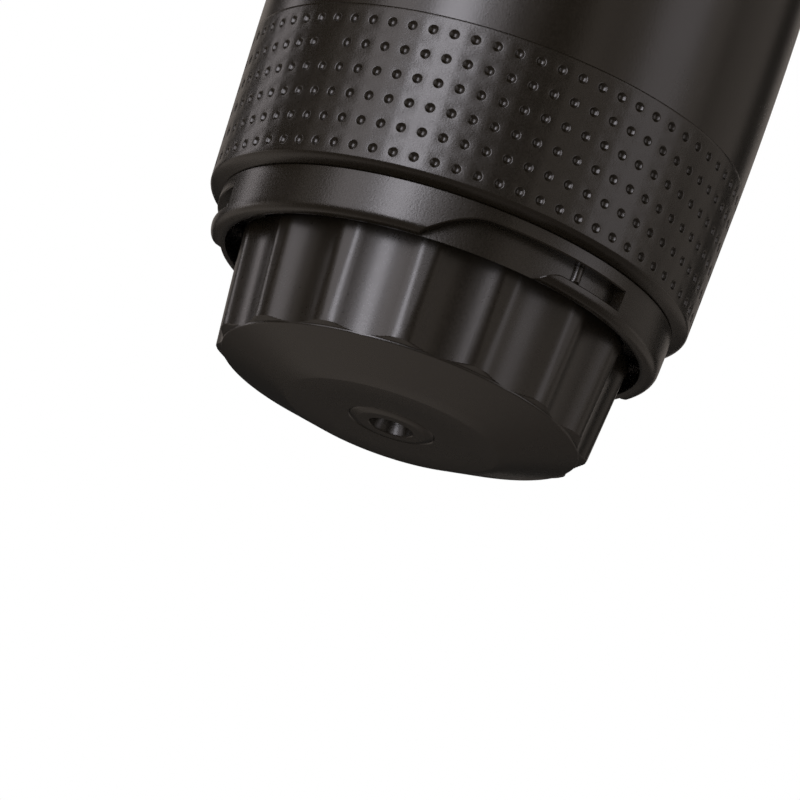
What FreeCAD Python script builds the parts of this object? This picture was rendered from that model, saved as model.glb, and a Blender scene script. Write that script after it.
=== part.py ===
import FreeCAD, Part
import Sketcher
import os
import re

# Handheld manual espresso maker, in millimetres. +Z is up, towards the water
# tank. The origin is the centre of the flat disc round the outlet, on which
# the maker can stand. The hand pump works along X and its knob is on the -X
# side.

doc = FreeCAD.newDocument("EspressoMaker")
sheet = doc.addObject("Spreadsheet::Sheet", "Sizes")

SIZES = {
    # clearances
    "seam": 0.05,
    "running": 0.08,
    "thread_play": 0.10,
    "free_gap": 0.30,
    "cut_margin": 5.00,
    "round_share": 0.30,
    # outside form of the casing
    "grip_radius": 30.00,
    "grip_slope": 0.0392,
    "grip_height": 19.65,
    "grip_wall": 2.40,
    "grip_tuck": 1.70,
    "grip_round": 2.20,
    "round_out_share": 0.68,
    "round_up_share": 0.27,
    "belly_out": 1.00,
    "belly_share": 0.40,
    "shoulder_out": 0.30,
    "haunch_width": 1.80,
    "haunch_height": 8.00,
    "deck_thickness": 3.00,
    "deck_rise": 1.00,
    "deck_gap": 3.45,
    # collar that takes the cup
    "collar_height": 5.70,
    "collar_step": 1.80,
    "collar_wall": 2.40,
    "collar_lip": 1.00,
    "collar_draft": 0.20,
    "collar_flange": 2.60,
    "collar_eye_gap": 0.25,
    "track_reach": 1.70,
    "track_top": 1.75,
    "track_depth": 2.45,
    "track_start_angle": -98.0,
    "track_entry_angle": 30.0,
    "track_sweep_angle": 55.8,
    "track_count": 3,
    # outlet head
    "cone_width": 9.95,
    "rim_rise": 3.50,
    "rim_chamfer": 0.80,
    "skirt_gap": 1.35,
    "skirt_draft": 1.10,
    "skirt_height": 12.00,
    "skirt_edge": 0.70,
    "flute_count": 15,
    "flute_radius": 9.70,
    "flute_depth": 1.00,
    "flute_angle": -82.3,
    "head_gap": 4.20,
    "neck_step": 2.55,
    "neck_wall": 1.50,
    "neck_lead": 8.10,
    "neck_tip": 1.00,
    "thread_depth": 0.75,
    "thread_crest": 1.00,
    "thread_pitch": 3.00,
    "thread_count": 3,
    "drain_height": 1.00,
    "funnel_ledge": 3.20,
    "funnel_drop": 5.00,
    "pocket_radius": 4.80,
    "pocket_depth": 4.60,
    "throat_radius": 1.50,
    "recess_radius": 5.30,
    "recess_depth": 1.60,
    "nozzle_radius": 4.60,
    "nozzle_length": 2.40,
    "nozzle_mouth": 2.20,
    # basket and brew chamber
    "basket_wall": 1.00,
    "basket_foot_step": 2.70,
    "basket_sheet": 0.80,
    "basket_rim_gap": 0.45,
    "rim_thickness": 1.00,
    "screen_thickness": 0.40,
    "hole_radius": 0.50,
    "inner_ring_share": 0.35,
    "middle_ring_share": 0.58,
    "outer_ring_share": 0.80,
    "screen_hole_count": 18,
    "strainer_hole_count": 8,
    "gasket_thickness": 2.15,
    "gasket_step": 0.20,
    "shower_thickness": 1.00,
    "plenum_height": 1.80,
    "boss_radius": 4.00,
    "ceiling_height": 7.10,
    "chamber_shell": 2.25,
    "chamber_foot": 3.00,
    "chamber_ring": 6.00,
    "chamber_cap_wall": 1.80,
    # chassis
    "plate_thickness": 3.50,
    "pump_clearance": 0.40,
    "saddle_land": 2.40,
    "saddle_drop": 4.00,
    "saddle_width": 4.00,
    "saddle_gap": 3.50,
    "saddle_start": -2.00,
    "cradle_length": 24.00,
    "clamp_wall": 2.50,
    "clamp_foot": 2.70,
    # hand pump
    "bore_radius": 6.50,
    "cylinder_wall": 2.50,
    "end_room": 1.00,
    "mouth_room": 1.00,
    "end_wall": 3.50,
    "stroke": 14.00,
    "lock_angle": 30.0,
    "nut_wall": 1.60,
    "nut_floor": 4.50,
    "web_inner": 5.00,
    "web_thickness": 3.00,
    "pump_flange": 2.50,
    "rod_radius": 3.50,
    "rod_neck": 2.40,
    "tip_radius": 4.40,
    "tip_length": 1.40,
    "tip_place": 4.50,
    "seal_length": 5.00,
    "seal_lip": 1.50,
    "seal_lip_slope": 0.50,
    "seal_waist": 1.00,
    "sleeve_wall": 2.07,
    "sleeve_proud": 1.70,
    "port_wall": 1.45,
    "port_sink": 2.50,
    "port_boss_length": 6.50,
    "port_hole_end": 15.00,
    "knob_play": 0.35,
    "knob_wall": 2.00,
    "knob_length": 30.00,
    "knob_end": 3.20,
    "knob_face": 54.00,
    "knob_edge": 1.50,
    "cap_border": 4.00,
    "cap_inset": 0.60,
    "cap_proud": 0.20,
    "socket_length": 6.00,
    "socket_wall": 1.10,
    "lug_height": 1.00,
    "lug_length": 2.50,
    "lug_angle": 20.0,
    "slot_side_angle": 2.0,
    "ledge_length": 2.00,
    "washer_thickness": 0.80,
    "washer_radius": 8.50,
    "spring_radius": 6.50,
    "spring_wire": 1.20,
    "spring_pitch": 4.60,
    # check valves
    "valve_distance": 6.50,
    "block_half_width": 6.50,
    "block_end": 6.00,
    "port_radius": 1.30,
    "valve_bore": 3.50,
    "web_half": 1.50,
    "valve_gap": 7.80,
    "seat_thickness": 1.50,
    "seat_bore": 1.60,
    "plug_length": 3.20,
    "plug_flange": 5.00,
    "flange_thickness": 1.50,
    "plug_ledge": 1.20,
    "ball_radius": 2.50,
    "valve_wire": 0.35,
    "valve_coil": 1.80,
    "valve_pitch": 0.90,
    "tube_radius": 2.40,
    "tube_bore": 1.60,
    "strainer_share": 0.743,
    "strainer_hole_share": 0.09,
    "strainer_thickness": 0.80,
    "vent_place": -14.00,
    "vent_stem": 1.25,
    "vent_bulb": 0.60,
    "vent_bulb_height": 1.00,
    "vent_cap": 4.20,
    "vent_cap_height": 1.30,
    "vent_cap_edge": 0.80,
    "vent_cap_share": 0.60,
    # outlet valve
    "retainer_thickness": 0.95,
    "plunger_radius": 3.20,
    "plunger_height": 1.65,
    "plunger_tip": 2.20,
    "crema_coil": 2.40,
    "crema_pitch": 0.70,
    # tank
    "spigot_step": 4.10,
    "spigot_wall": 1.80,
    "spigot_thread": 0.70,
    "spigot_lead": 1.60,
    "spigot_tip": 0.40,
    "tank_gap": 0.30,
    "tank_height": 46.70,
    "tank_inset": 0.10,
    "tank_side_step": 1.26,
    "tank_side_share": 0.42,
    "tank_shoulder_step": 2.90,
    "tank_shoulder_drop": 9.00,
    "tank_crown_step": 9.95,
    "tank_corner_step": 3.26,
    "tank_corner_drop": 2.57,
    "tank_corner_share": 0.90,
    "tank_bore_step": 0.60,
    "tank_roof": 3.00,
    "tank_roof_start": 1.00,
    "tank_roof_drop": 8.00,
    "tank_wall": 2.60,
    "seal_ring": 2.30,
    # fasteners
    "pillar_radius": 3.50,
    "pillar_inset": 3.41,
    "pillar_shift": 0.375,
    "body_screw_head": 2.75,
    "body_screw_shank": 1.25,
    "body_screw_length": 12.00,
    "body_head_height": 2.20,
    "chamber_screw_inset": 4.00,
    "chamber_screw_head": 2.60,
    "chamber_screw_length": 7.00,
    "chamber_screw_depth": 6.00,
    "chamber_head_height": 1.80,
    "collar_screw_angle": 30.0,
    "screw_spacing_angle": 120.0,
    "collar_screw_head": 1.40,
    "collar_screw_shank": 1.00,
    "collar_screw_length": 7.00,
    "collar_head_height": 1.20,
    "clamp_screw_gap": 0.15,
    "clamp_screw_head": 2.10,
    "clamp_screw_length": 8.00,
    "clamp_head_height": 1.60,
    "shower_screw_head": 2.75,
    "shower_screw_length": 6.00,
    "shower_head_height": 1.70,
}

# Heights and radii that follow from the sizes above.
PLACES = {
    "grip_inner": "grip_radius - grip_wall",
    "grip_turn_in": "grip_radius - grip_tuck",
    "body_lining": "grip_inner",
    "body_belly": "grip_radius + belly_out",
    "body_shoulder": "grip_radius + shoulder_out",
    "collar_radius": "grip_radius - collar_step",
    "collar_foot_radius": "collar_radius - collar_draft",
    "collar_inner": "collar_radius - collar_wall",
    "track_floor": "collar_radius - track_reach",
    "skirt_radius": "collar_inner - skirt_gap",
    "rim_radius": "skirt_radius - skirt_draft",
    "disc_radius": "rim_radius - cone_width",
    "neck_root": "skirt_radius - neck_step",
    "neck_bore": "neck_root - neck_wall",
    "funnel_radius": "neck_bore - funnel_ledge",
    "neck_height": "neck_lead + (thread_count - 1) * thread_pitch + thread_crest + neck_tip",
    "rim_low_radius": "rim_radius - rim_chamfer / 2",
    "rim_top": "rim_rise + rim_chamfer",
    "skirt_top": "rim_top + skirt_height",
    "head_shoulder": "skirt_top + skirt_edge",
    "neck_top": "head_shoulder + neck_height",
    "neck_crest": "neck_root + thread_depth",
    "grip_base": "head_shoulder + head_gap",
    "grip_top": "grip_base + grip_height",
    "grip_low_edge": "grip_base + grip_round",
    "grip_low_radius": "grip_radius",
    "grip_top_radius": "grip_radius + grip_slope * (grip_height - grip_round)",
    "collar_eye": "neck_crest + collar_eye_gap",
    "collar_bottom": "grip_base - collar_height",
    "collar_land": "grip_base - track_top + seam",
    "flange_top": "grip_base + collar_flange",
    "chamber_bore": "neck_crest + thread_play",
    "chamber_bottom": "flange_top + seam",
    "head_floor": "head_shoulder - drain_height",
    "pocket_top": "head_floor - funnel_drop",
    "pocket_floor": "pocket_top - pocket_depth",
    "nozzle_top": "recess_depth + nozzle_length",
    "basket_radius": "neck_bore - 2 * thread_play",
    "basket_foot": "basket_radius - basket_foot_step",
    "basket_bottom": "head_shoulder",
    "basket_top": "neck_top + thread_play + rim_thickness",
    "basket_bore": "basket_radius - basket_wall",
    "basket_rim": "chamber_bore - basket_rim_gap",
    "gasket_inner": "basket_bore + gasket_step",
    "shower_radius": "gasket_inner - free_gap",
    "chamber_wall": "chamber_bore + chamber_shell",
    "chamber_cap": "shower_radius + thread_play + chamber_cap_wall",
    "chamber_ceiling": "basket_top + seam + gasket_thickness + seam",
    "plate_seat": "chamber_ceiling + thread_play + shower_thickness",
    "plenum_top": "plate_seat + plenum_height",
    "chamber_top": "plenum_top + ceiling_height",
    "casing_bore": "grip_inner - thread_play",
    "plate_bottom": "chamber_top + seam",
    "ring_top": "plate_bottom - body_head_height - free_gap",
    "plate_top": "plate_bottom + plate_thickness",
    "cylinder_radius": "bore_radius + cylinder_wall",
    "flange_radius": "cylinder_radius + nut_wall",
    "nut_radius": "cylinder_radius + seam + nut_wall",
    "knob_radius": "nut_radius + knob_play + knob_wall",
    "cap_radius": "knob_radius - cap_border",
    "sleeve_bore": "knob_radius + running",
    "sleeve_radius": "sleeve_bore + sleeve_wall",
    "port_boss": "sleeve_radius + port_wall",
    "port_face": "body_belly - port_sink",
    "sleeve_end": "port_face + sleeve_proud",
    "pump_height": "plate_top + port_boss + pump_clearance",
    "saddle_top": "pump_height - saddle_drop",
    "clamp_start": "saddle_start + saddle_width + saddle_gap",
    "clamp_middle": "clamp_start + saddle_width / 2",
    "clamp_bottom": "saddle_top + free_gap",
    "clamp_inner": "cylinder_radius + seam",
    "clamp_outer": "clamp_inner + clamp_wall",
    "clamp_shelf": "clamp_bottom + clamp_foot",
    "clamp_screw_place": "clamp_outer + clamp_screw_head + clamp_screw_gap",
    "saddle_half": "clamp_screw_place + saddle_land",
    "chamber_end": "stroke - tip_place + end_room",
    "valve_offset": "chamber_end + valve_distance",
    "block_outer": "valve_offset + block_end",
    "web_outer": "web_inner + web_thickness",
    "seal_start": "tip_place + tip_length + thread_play",
    "seal_end": "seal_start + seal_length",
    "cylinder_mouth": "seal_end + mouth_room",
    "nut_face": "cylinder_mouth + seam + nut_floor",
    "washer_face": "nut_face + seam + washer_thickness",
    "slot_floor": "knob_radius + lug_height + 2 * thread_play",
    "knob_mouth": "knob_face - knob_length",
    "knob_ceiling": "knob_face - knob_end",
    "lug_end": "knob_mouth + lug_length",
    "locked_lug_end": "lug_end - stroke",
    "ledge_start": "locked_lug_end + free_gap",
    "ledge_end": "ledge_start + ledge_length",
    "slot_end": "lug_end + free_gap",
    "ledge_angle": "lug_angle / 2 + 2 * slot_side_angle",
    "socket_radius": "rod_radius + socket_wall",
    "rod_end": "knob_ceiling + socket_wall / 2",
    "socket_mouth": "knob_ceiling - socket_length",
    "block_half": "web_half + valve_gap + seat_thickness + plug_length",
    "inlet_floor": "pump_height + web_half",
    "delivery_floor": "pump_height - block_half + plug_length",
    "plug_radius": "valve_bore - seam",
    "contact_height": "sqrt(ball_radius ^ 2 - seat_bore ^ 2)",
    "ball_height": "valve_gap - seam - contact_height",
    "deck_bottom": "pump_height + block_half + seam + flange_thickness + deck_gap",
    "deck_top": "deck_bottom + deck_thickness",
    "shoulder_height": "deck_top - deck_rise",
    "body_bottom": "grip_top + free_gap / 2",
    "body_height": "shoulder_height - (body_bottom)",
    "spigot_height": "spigot_lead + (thread_count - 1) * thread_pitch + thread_crest + spigot_tip",
    "spigot_top": "shoulder_height + spigot_height",
    "spigot_root": "body_shoulder - spigot_step",
    "spigot_bore": "spigot_root - spigot_wall",
    "strainer_radius": "strainer_share * (spigot_bore - valve_offset)",
    "tube_top": "deck_top",
    "tube_socket": "block_half - plug_length + plug_ledge",
    "tank_base": "body_shoulder - tank_inset",
    "tank_side": "tank_base - tank_side_step",
    "tank_shoulder": "tank_base - tank_shoulder_step",
    "tank_corner": "tank_shoulder - tank_corner_step",
    "tank_crown": "tank_shoulder - tank_crown_step",
    "tank_bore": "spigot_root - tank_bore_step",
    "tank_bottom": "shoulder_height + tank_gap",
    "tank_top": "tank_bottom + tank_height",
    "tank_thread_bore": "spigot_root + spigot_thread + thread_play",
    "tank_step": "spigot_top + 2 * seam + seal_ring",
    "pillar_foot": "plate_top + seam",
    "pillar_along": "(sleeve_radius + body_lining) / 2 - pillar_shift",
    "pillar_across": "sqrt((body_lining - pillar_inset) ^ 2 - pillar_along ^ 2)",
    "chamber_screw_place": "chamber_cap - chamber_screw_inset",
    "collar_screw_place": "collar_eye + collar_screw_head",
}


def link(text):
    """Write an expression on the sheet from the names of sizes and places."""
    def swap(match):
        word = match.group()
        if word in PLACES:
            return "(" + link(PLACES[word]) + ")"
        if word in SIZES:
            return "Sizes." + word
        return word
    return re.sub(r"[a-z_]+", swap, text)


def value(text):
    return float(sheet.evalExpression(link(text)))


def fill_sheet():
    for row, (name, size) in enumerate(SIZES.items(), start=1):
        sheet.set("A%d" % row, name)
        sheet.set("B%d" % row, str(size))
        sheet.setAlias("B%d" % row, name)
    doc.recompute()


def new_body(label):
    body = doc.addObject("PartDesign::Body", label)
    body.Label = label
    return body


def new_sketch(body, role, height="0", start="0"):
    """A sketch on an origin plane of the body, lifted along the plane's normal.
    start turns an upright sketch about the body's own axis."""
    plane = [item for item in body.Origin.OriginFeatures if item.Role == role][0]
    sketch = body.newObject("Sketcher::SketchObject", body.Label + "_sketch")
    sketch.AttachmentSupport = [(plane, "")]
    sketch.MapMode = "FlatFace"
    turned_by = FreeCAD.Rotation(FreeCAD.Vector(0, 1, 0), value(start))
    sketch.AttachmentOffset = FreeCAD.Placement(FreeCAD.Vector(0, 0, value(height)), turned_by)
    sketch.setExpression(".AttachmentOffset.Base.z", link(height))
    if start != "0":
        sketch.setExpression(".AttachmentOffset.Rotation.Angle", link(start))
    return sketch


def pin_point(sketch, side, end, across, up):
    """Tie one point of a sketch to its named distances from the origin."""
    for kind, text, axis in (("DistanceX", across, -2), ("DistanceY", up, -1)):
        if text == "0":
            sketch.addConstraint(Sketcher.Constraint("PointOnObject", side, end, axis))
        else:
            tie = Sketcher.Constraint(kind, -1, 1, side, end, value(text))
            number = sketch.addConstraint(tie)
            sketch.setExpression("Constraints[%d]" % number, link(text))


def outline(sketch, corners):
    """A closed loop of straight sides. A corner that also names a via point
    starts an arc through it to the next corner."""
    spots = [FreeCAD.Vector(value(corner[0]), value(corner[1]), 0) for corner in corners]
    sides = []
    for index, corner in enumerate(corners):
        here = spots[index]
        there = spots[(index + 1) % len(spots)]
        if len(corner) == 4:
            via = FreeCAD.Vector(value(corner[2]), value(corner[3]), 0)
            side = sketch.addGeometry(Part.Arc(here, via, there), False)
            first = 1 if (sketch.getPoint(side, 1) - here).Length < 1e-6 else 2
            mark = sketch.addGeometry(Part.Point(via), True)
            pin_point(sketch, mark, 1, corner[2], corner[3])
            sketch.addConstraint(Sketcher.Constraint("PointOnObject", mark, 1, side))
        else:
            side = sketch.addGeometry(Part.LineSegment(here, there), False)
            first = 1
        sides.append((side, first))
    for index, (side, first) in enumerate(sides):
        last_side, last_first = sides[index - 1]
        joint = Sketcher.Constraint("Coincident", last_side, 3 - last_first, side, first)
        sketch.addConstraint(joint)
        pin_point(sketch, side, first, corners[index][0], corners[index][1])


def circle(sketch, across, up, radius):
    centre = FreeCAD.Vector(value(across), value(up), 0)
    round_one = Part.Circle(centre, FreeCAD.Vector(0, 0, 1), value(radius))
    number = sketch.addGeometry(round_one, False)
    pin_point(sketch, number, 3, across, up)
    tie = sketch.addConstraint(Sketcher.Constraint("Radius", number, value(radius)))
    sketch.setExpression("Constraints[%d]" % tie, link(radius))


def turn(body, sketch, sweep="360", cut=False):
    kind = "PartDesign::Groove" if cut else "PartDesign::Revolution"
    feature = body.newObject(kind, body.Label + "_turn")
    feature.Profile = sketch
    feature.ReferenceAxis = (sketch, ["V_Axis"])
    feature.Angle = value(sweep)
    if sweep != "360":
        feature.setExpression("Angle", link(sweep))
    return feature


def turned(label, corners):
    """A piece that is turned about its own Z axis."""
    body = new_body(label)
    sketch = new_sketch(body, "XZ_Plane")
    outline(sketch, corners)
    turn(body, sketch)
    return body


def extrude(body, sketch, length, cut=False, back=False):
    kind = "PartDesign::Pocket" if cut else "PartDesign::Pad"
    feature = body.newObject(kind, body.Label + "_extrude")
    feature.Profile = sketch
    feature.Type = 0
    feature.Length = value(length)
    feature.setExpression("Length", link(length))
    feature.Reversed = back
    return feature


def ring_of(body, features, count):
    """Repeat features round the body's own Z axis."""
    axis = [item for item in body.Origin.OriginFeatures if item.Role == "Z_Axis"][0]
    pattern = body.newObject("PartDesign::PolarPattern", body.Label + "_ring")
    pattern.Originals = features
    pattern.Axis = (axis, [""])
    pattern.Angle = 360
    pattern.Occurrences = int(value(count))
    pattern.setExpression("Occurrences", link(count))
    body.Tip = pattern
    return pattern


def sector(body, corners, start, sweep, cut):
    sketch = new_sketch(body, "XZ_Plane", start=start)
    outline(sketch, corners)
    return turn(body, sketch, sweep, cut)


def coil(label, radius, wire, floor, ceiling, pitch):
    """A round-wire spring that stands on floor and reaches ceiling."""
    body = new_body(label)
    sketch = new_sketch(body, "XZ_Plane")
    circle(sketch, radius, "%s + (%s) / 2" % (floor, wire), "(%s) / 2" % wire)
    spring = body.newObject("PartDesign::AdditiveHelix", label + "_helix")
    spring.Profile = sketch
    spring.ReferenceAxis = (sketch, ["V_Axis"])
    spring.Mode = "pitch-height-angle"
    spring.setExpression("Pitch", link(pitch))
    spring.setExpression("Height", link("%s - (%s) - (%s)" % (ceiling, floor, wire)))
    return body


def stand_at(thing, across="0", along="0", up="0"):
    spot = FreeCAD.Vector(value(across), value(along), value(up))
    thing.Placement = FreeCAD.Placement(spot, thing.Placement.Rotation)
    for name, text in (("x", across), ("y", along), ("z", up)):
        if text != "0":
            thing.setExpression(".Placement.Base." + name, link(text))
    return thing


def lay_on_pump_axis(body):
    """Turn a piece so that its own Z axis points out towards the knob."""
    body.Placement = FreeCAD.Placement(
        FreeCAD.Vector(0, 0, value("pump_height")),
        FreeCAD.Rotation(FreeCAD.Vector(0, 1, 0), -90),
    )
    body.setExpression(".Placement.Base.z", link("pump_height"))
    return body


def rod_between(label, radius, low, high):
    rod = doc.addObject("Part::Cylinder", label)
    rod.setExpression("Radius", link(radius))
    rod.setExpression("Height", link("%s - (%s)" % (high, low)))
    return rod


def screws(label, spots, head, head_height, shank, length, seat, points_up):
    """Pan-head screws in one node. seat is the height under their heads."""
    pieces = []
    for number, (across, along) in enumerate(spots, start=1):
        name = "%s_%d" % (label, number)
        if points_up:
            head_low = "%s - (%s)" % (seat, head_height)
            shank_low = seat
        else:
            head_low = seat
            shank_low = "%s - (%s)" % (seat, length)
        cap = rod_between(name + "_head", head, "0", head_height)
        stem = rod_between(name + "_shank", shank, "0", length)
        stand_at(cap, across, along, head_low)
        stand_at(stem, across, along, shank_low)
        screw = doc.addObject("Part::Fuse", name)
        screw.Base = cap
        screw.Tool = stem
        pieces.append(screw)
    group = doc.addObject("Part::Compound", label)
    group.Label = label
    group.Links = pieces
    return group


def thread_crests(root, crest, start):
    """Corners of the thread's crests up a wall, from the lowest to the highest."""
    corners = []
    for number in range(int(value("thread_count"))):
        low = "%s + %d * thread_pitch" % (start, number)
        high = low + " + thread_crest"
        corners += [(root, low), (crest, low), (crest, high), (root, high)]
    return corners


# ---------------------------------------------------------------- casing

def grip_band():
    return turned("grip_band", [
        ("grip_inner", "grip_base"),
        ("grip_turn_in", "grip_base",
         "grip_turn_in + round_out_share * (grip_radius - grip_turn_in)",
         "grip_base + round_up_share * grip_round"),
        ("grip_low_radius", "grip_low_edge"),
        ("grip_top_radius", "grip_top"),
        ("grip_inner", "grip_top"),
    ])


def bayonet_collar():
    body = turned("bayonet_collar", [
        ("collar_radius", "grip_base - seam"),
        ("collar_radius", "collar_land"),
        ("collar_foot_radius", "collar_bottom + collar_lip",
         "collar_foot_radius - round_share * collar_lip",
         "collar_bottom + round_share * collar_lip"),
        ("collar_foot_radius - collar_lip", "collar_bottom"),
        ("collar_inner + collar_lip / 2", "collar_bottom"),
        ("collar_inner", "collar_bottom + collar_lip / 2"),
        ("collar_inner", "grip_base + seam"),
        ("collar_eye", "grip_base + seam"),
        ("collar_eye", "flange_top"),
        ("casing_bore", "flange_top"),
        ("casing_bore", "grip_base - seam"),
    ])
    outside = "collar_radius + collar_lip"
    ceiling = "grip_base - track_top"
    entry = sector(body, [
        ("track_floor", "collar_bottom - collar_lip"),
        (outside, "collar_bottom - collar_lip"),
        (outside, ceiling),
        ("track_floor", ceiling),
    ], "track_start_angle", "track_entry_angle", True)
    slot = sector(body, [
        ("track_floor", "grip_base - track_top - track_depth"),
        (outside, "grip_base - track_top - track_depth"),
        (outside, ceiling),
        ("track_floor", ceiling),
    ], "track_start_angle", "track_sweep_angle", True)
    ring_of(body, [entry, slot], "track_count")
    screw_holes = new_sketch(body, "XY_Plane", "grip_base - collar_lip")
    for across, along in collar_spots():
        circle(screw_holes, across, along, "collar_screw_shank + thread_play")
    extrude(body, screw_holes, "collar_flange + 2 * collar_lip", cut=True, back=True)
    return body


def collar_spots():
    """The three collar screws, evenly spaced round the axis."""
    turns = ["(collar_screw_angle + %d * screw_spacing_angle)" % number for number in range(3)]
    return [("collar_screw_place * cos%s" % turn_by, "collar_screw_place * sin%s" % turn_by)
            for turn_by in turns]


def main_body():
    spigot_crest = "spigot_root + spigot_thread"
    body = turned("main_body", [
        ("grip_top_radius", "body_bottom",
         "body_belly", "body_bottom + belly_share * body_height"),
        ("body_shoulder", "shoulder_height"),
        ("spigot_root", "shoulder_height"),
    ] + thread_crests("spigot_root", spigot_crest, "shoulder_height + spigot_lead") + [
        ("spigot_root", "spigot_top"),
        ("spigot_bore", "spigot_top"),
        ("spigot_bore", "deck_top"),
        ("0", "deck_top"),
        ("0", "deck_bottom"),
        ("body_lining - haunch_width", "deck_bottom"),
        ("body_lining", "deck_bottom - haunch_height"),
        ("body_lining", "body_bottom"),
    ])
    boss = new_sketch(body, "YZ_Plane", "0 - port_face")
    circle(boss, "0", "pump_height", "port_boss")
    extrude(body, boss, "port_boss_length")
    pillars = new_sketch(body, "XY_Plane", "pillar_foot")
    for across, along in pillar_spots():
        circle(pillars, across, along, "pillar_radius")
    extrude(body, pillars, "deck_bottom + deck_thickness / 2 - (pillar_foot)")
    hole = new_sketch(body, "YZ_Plane", "0 - port_face - cut_margin")
    circle(hole, "0", "pump_height", "sleeve_radius + seam")
    extrude(body, hole, "port_face + cut_margin - port_hole_end", cut=True, back=True)
    screw_holes = new_sketch(body, "XY_Plane", "pillar_foot")
    for across, along in pillar_spots():
        circle(screw_holes, across, along, "body_screw_shank + seam")
    extrude(body, screw_holes, "body_screw_length", cut=True, back=True)
    deck_holes = new_sketch(body, "XY_Plane", "deck_top")
    circle(deck_holes, "valve_offset", "0", "tube_radius + seam")
    circle(deck_holes, "vent_place", "0", "vent_stem + seam")
    extrude(body, deck_holes, "2 * deck_thickness", cut=True)
    return body


def pillar_spots():
    return [(side + " * pillar_across", end + " * pillar_along")
            for side in ("1", "-1") for end in ("1", "-1")]


# ---------------------------------------------------------------- brewing

def brew_chamber():
    body = turned("brew_chamber", [
        ("chamber_bore", "chamber_bottom"),
        ("casing_bore", "chamber_bottom"),
        ("casing_bore", "chamber_bottom + chamber_foot"),
        ("chamber_wall", "chamber_bottom + chamber_foot"),
        ("chamber_wall", "ring_top - chamber_ring"),
        ("casing_bore", "ring_top - chamber_ring"),
        ("casing_bore", "ring_top"),
        ("chamber_cap", "ring_top"),
        ("chamber_cap", "chamber_top"),
        ("0", "chamber_top"),
        ("0", "plate_seat"),
        ("boss_radius", "plate_seat"),
        ("boss_radius", "plenum_top"),
        ("shower_radius + thread_play", "plenum_top"),
        ("shower_radius + thread_play", "chamber_ceiling"),
        ("chamber_bore", "chamber_ceiling"),
    ])
    inlet = new_sketch(body, "XY_Plane", "chamber_top")
    circle(inlet, "valve_offset", "0", "tube_radius + seam")
    extrude(body, inlet, "ceiling_height / 2", cut=True)
    drop = new_sketch(body, "XY_Plane", "chamber_top")
    circle(drop, "valve_offset", "0", "tube_bore")
    extrude(body, drop, "ceiling_height + seam", cut=True)
    screw = new_sketch(body, "XY_Plane", "plate_seat")
    circle(screw, "0", "0", "body_screw_shank + seam")
    extrude(body, screw, "shower_screw_length", cut=True, back=True)
    top_screws = new_sketch(body, "XY_Plane", "chamber_top")
    for across, along in chamber_spots():
        circle(top_screws, across, along, "body_screw_shank + seam")
    extrude(body, top_screws, "chamber_screw_depth", cut=True)
    foot_screws = new_sketch(body, "XY_Plane", "chamber_bottom")
    for across, along in collar_spots():
        circle(foot_screws, across, along, "collar_screw_shank + seam")
    extrude(body, foot_screws, "collar_screw_length", cut=True, back=True)
    return body


def chamber_spots():
    return [("0", "chamber_screw_place"), ("0", "0 - chamber_screw_place"),
            ("0 - chamber_screw_place", "0")]


def brew_gasket():
    return turned("brew_gasket", [
        ("gasket_inner", "basket_top + seam"),
        ("chamber_bore - thread_play", "basket_top + seam"),
        ("chamber_bore - thread_play", "chamber_ceiling - seam"),
        ("gasket_inner", "chamber_ceiling - seam"),
    ])


def holes_in(body, face, radius, depth, count, hole="hole_radius"):
    """Rings of small holes through a round plate, from its top face down."""
    sketch = new_sketch(body, "XY_Plane", face)
    for share in ("inner_ring_share", "middle_ring_share", "outer_ring_share"):
        circle(sketch, "%s * (%s)" % (share, radius), "0", hole)
    drilled = extrude(body, sketch, depth, cut=True)
    ring_of(body, [drilled], count)


def shower_plate():
    body = turned("shower_plate", [
        ("body_screw_shank + thread_play", "chamber_ceiling + thread_play"),
        ("shower_radius", "chamber_ceiling + thread_play"),
        ("shower_radius", "plate_seat"),
        ("body_screw_shank + thread_play", "plate_seat"),
    ])
    holes_in(body, "plate_seat", "shower_radius", "2 * shower_thickness", "screen_hole_count")
    return body


def filter_basket():
    return turned("filter_basket", [
        ("basket_foot", "basket_bottom"),
        ("basket_radius", "basket_bottom"),
        ("basket_radius", "basket_top - rim_thickness"),
        ("basket_rim", "basket_top - rim_thickness"),
        ("basket_rim", "basket_top"),
        ("basket_bore", "basket_top"),
        ("basket_bore", "basket_bottom + basket_sheet"),
        ("basket_foot", "basket_bottom + basket_sheet"),
    ])


def basket_screen():
    body = turned("basket_screen", [
        ("0", "basket_bottom + basket_sheet"),
        ("basket_bore - seam", "basket_bottom + basket_sheet"),
        ("basket_bore - seam", "basket_bottom + basket_sheet + screen_thickness"),
        ("0", "basket_bottom + basket_sheet + screen_thickness"),
    ])
    holes_in(body, "basket_bottom + basket_sheet + screen_thickness",
             "basket_bore", "2 * screen_thickness", "screen_hole_count")
    return body


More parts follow.
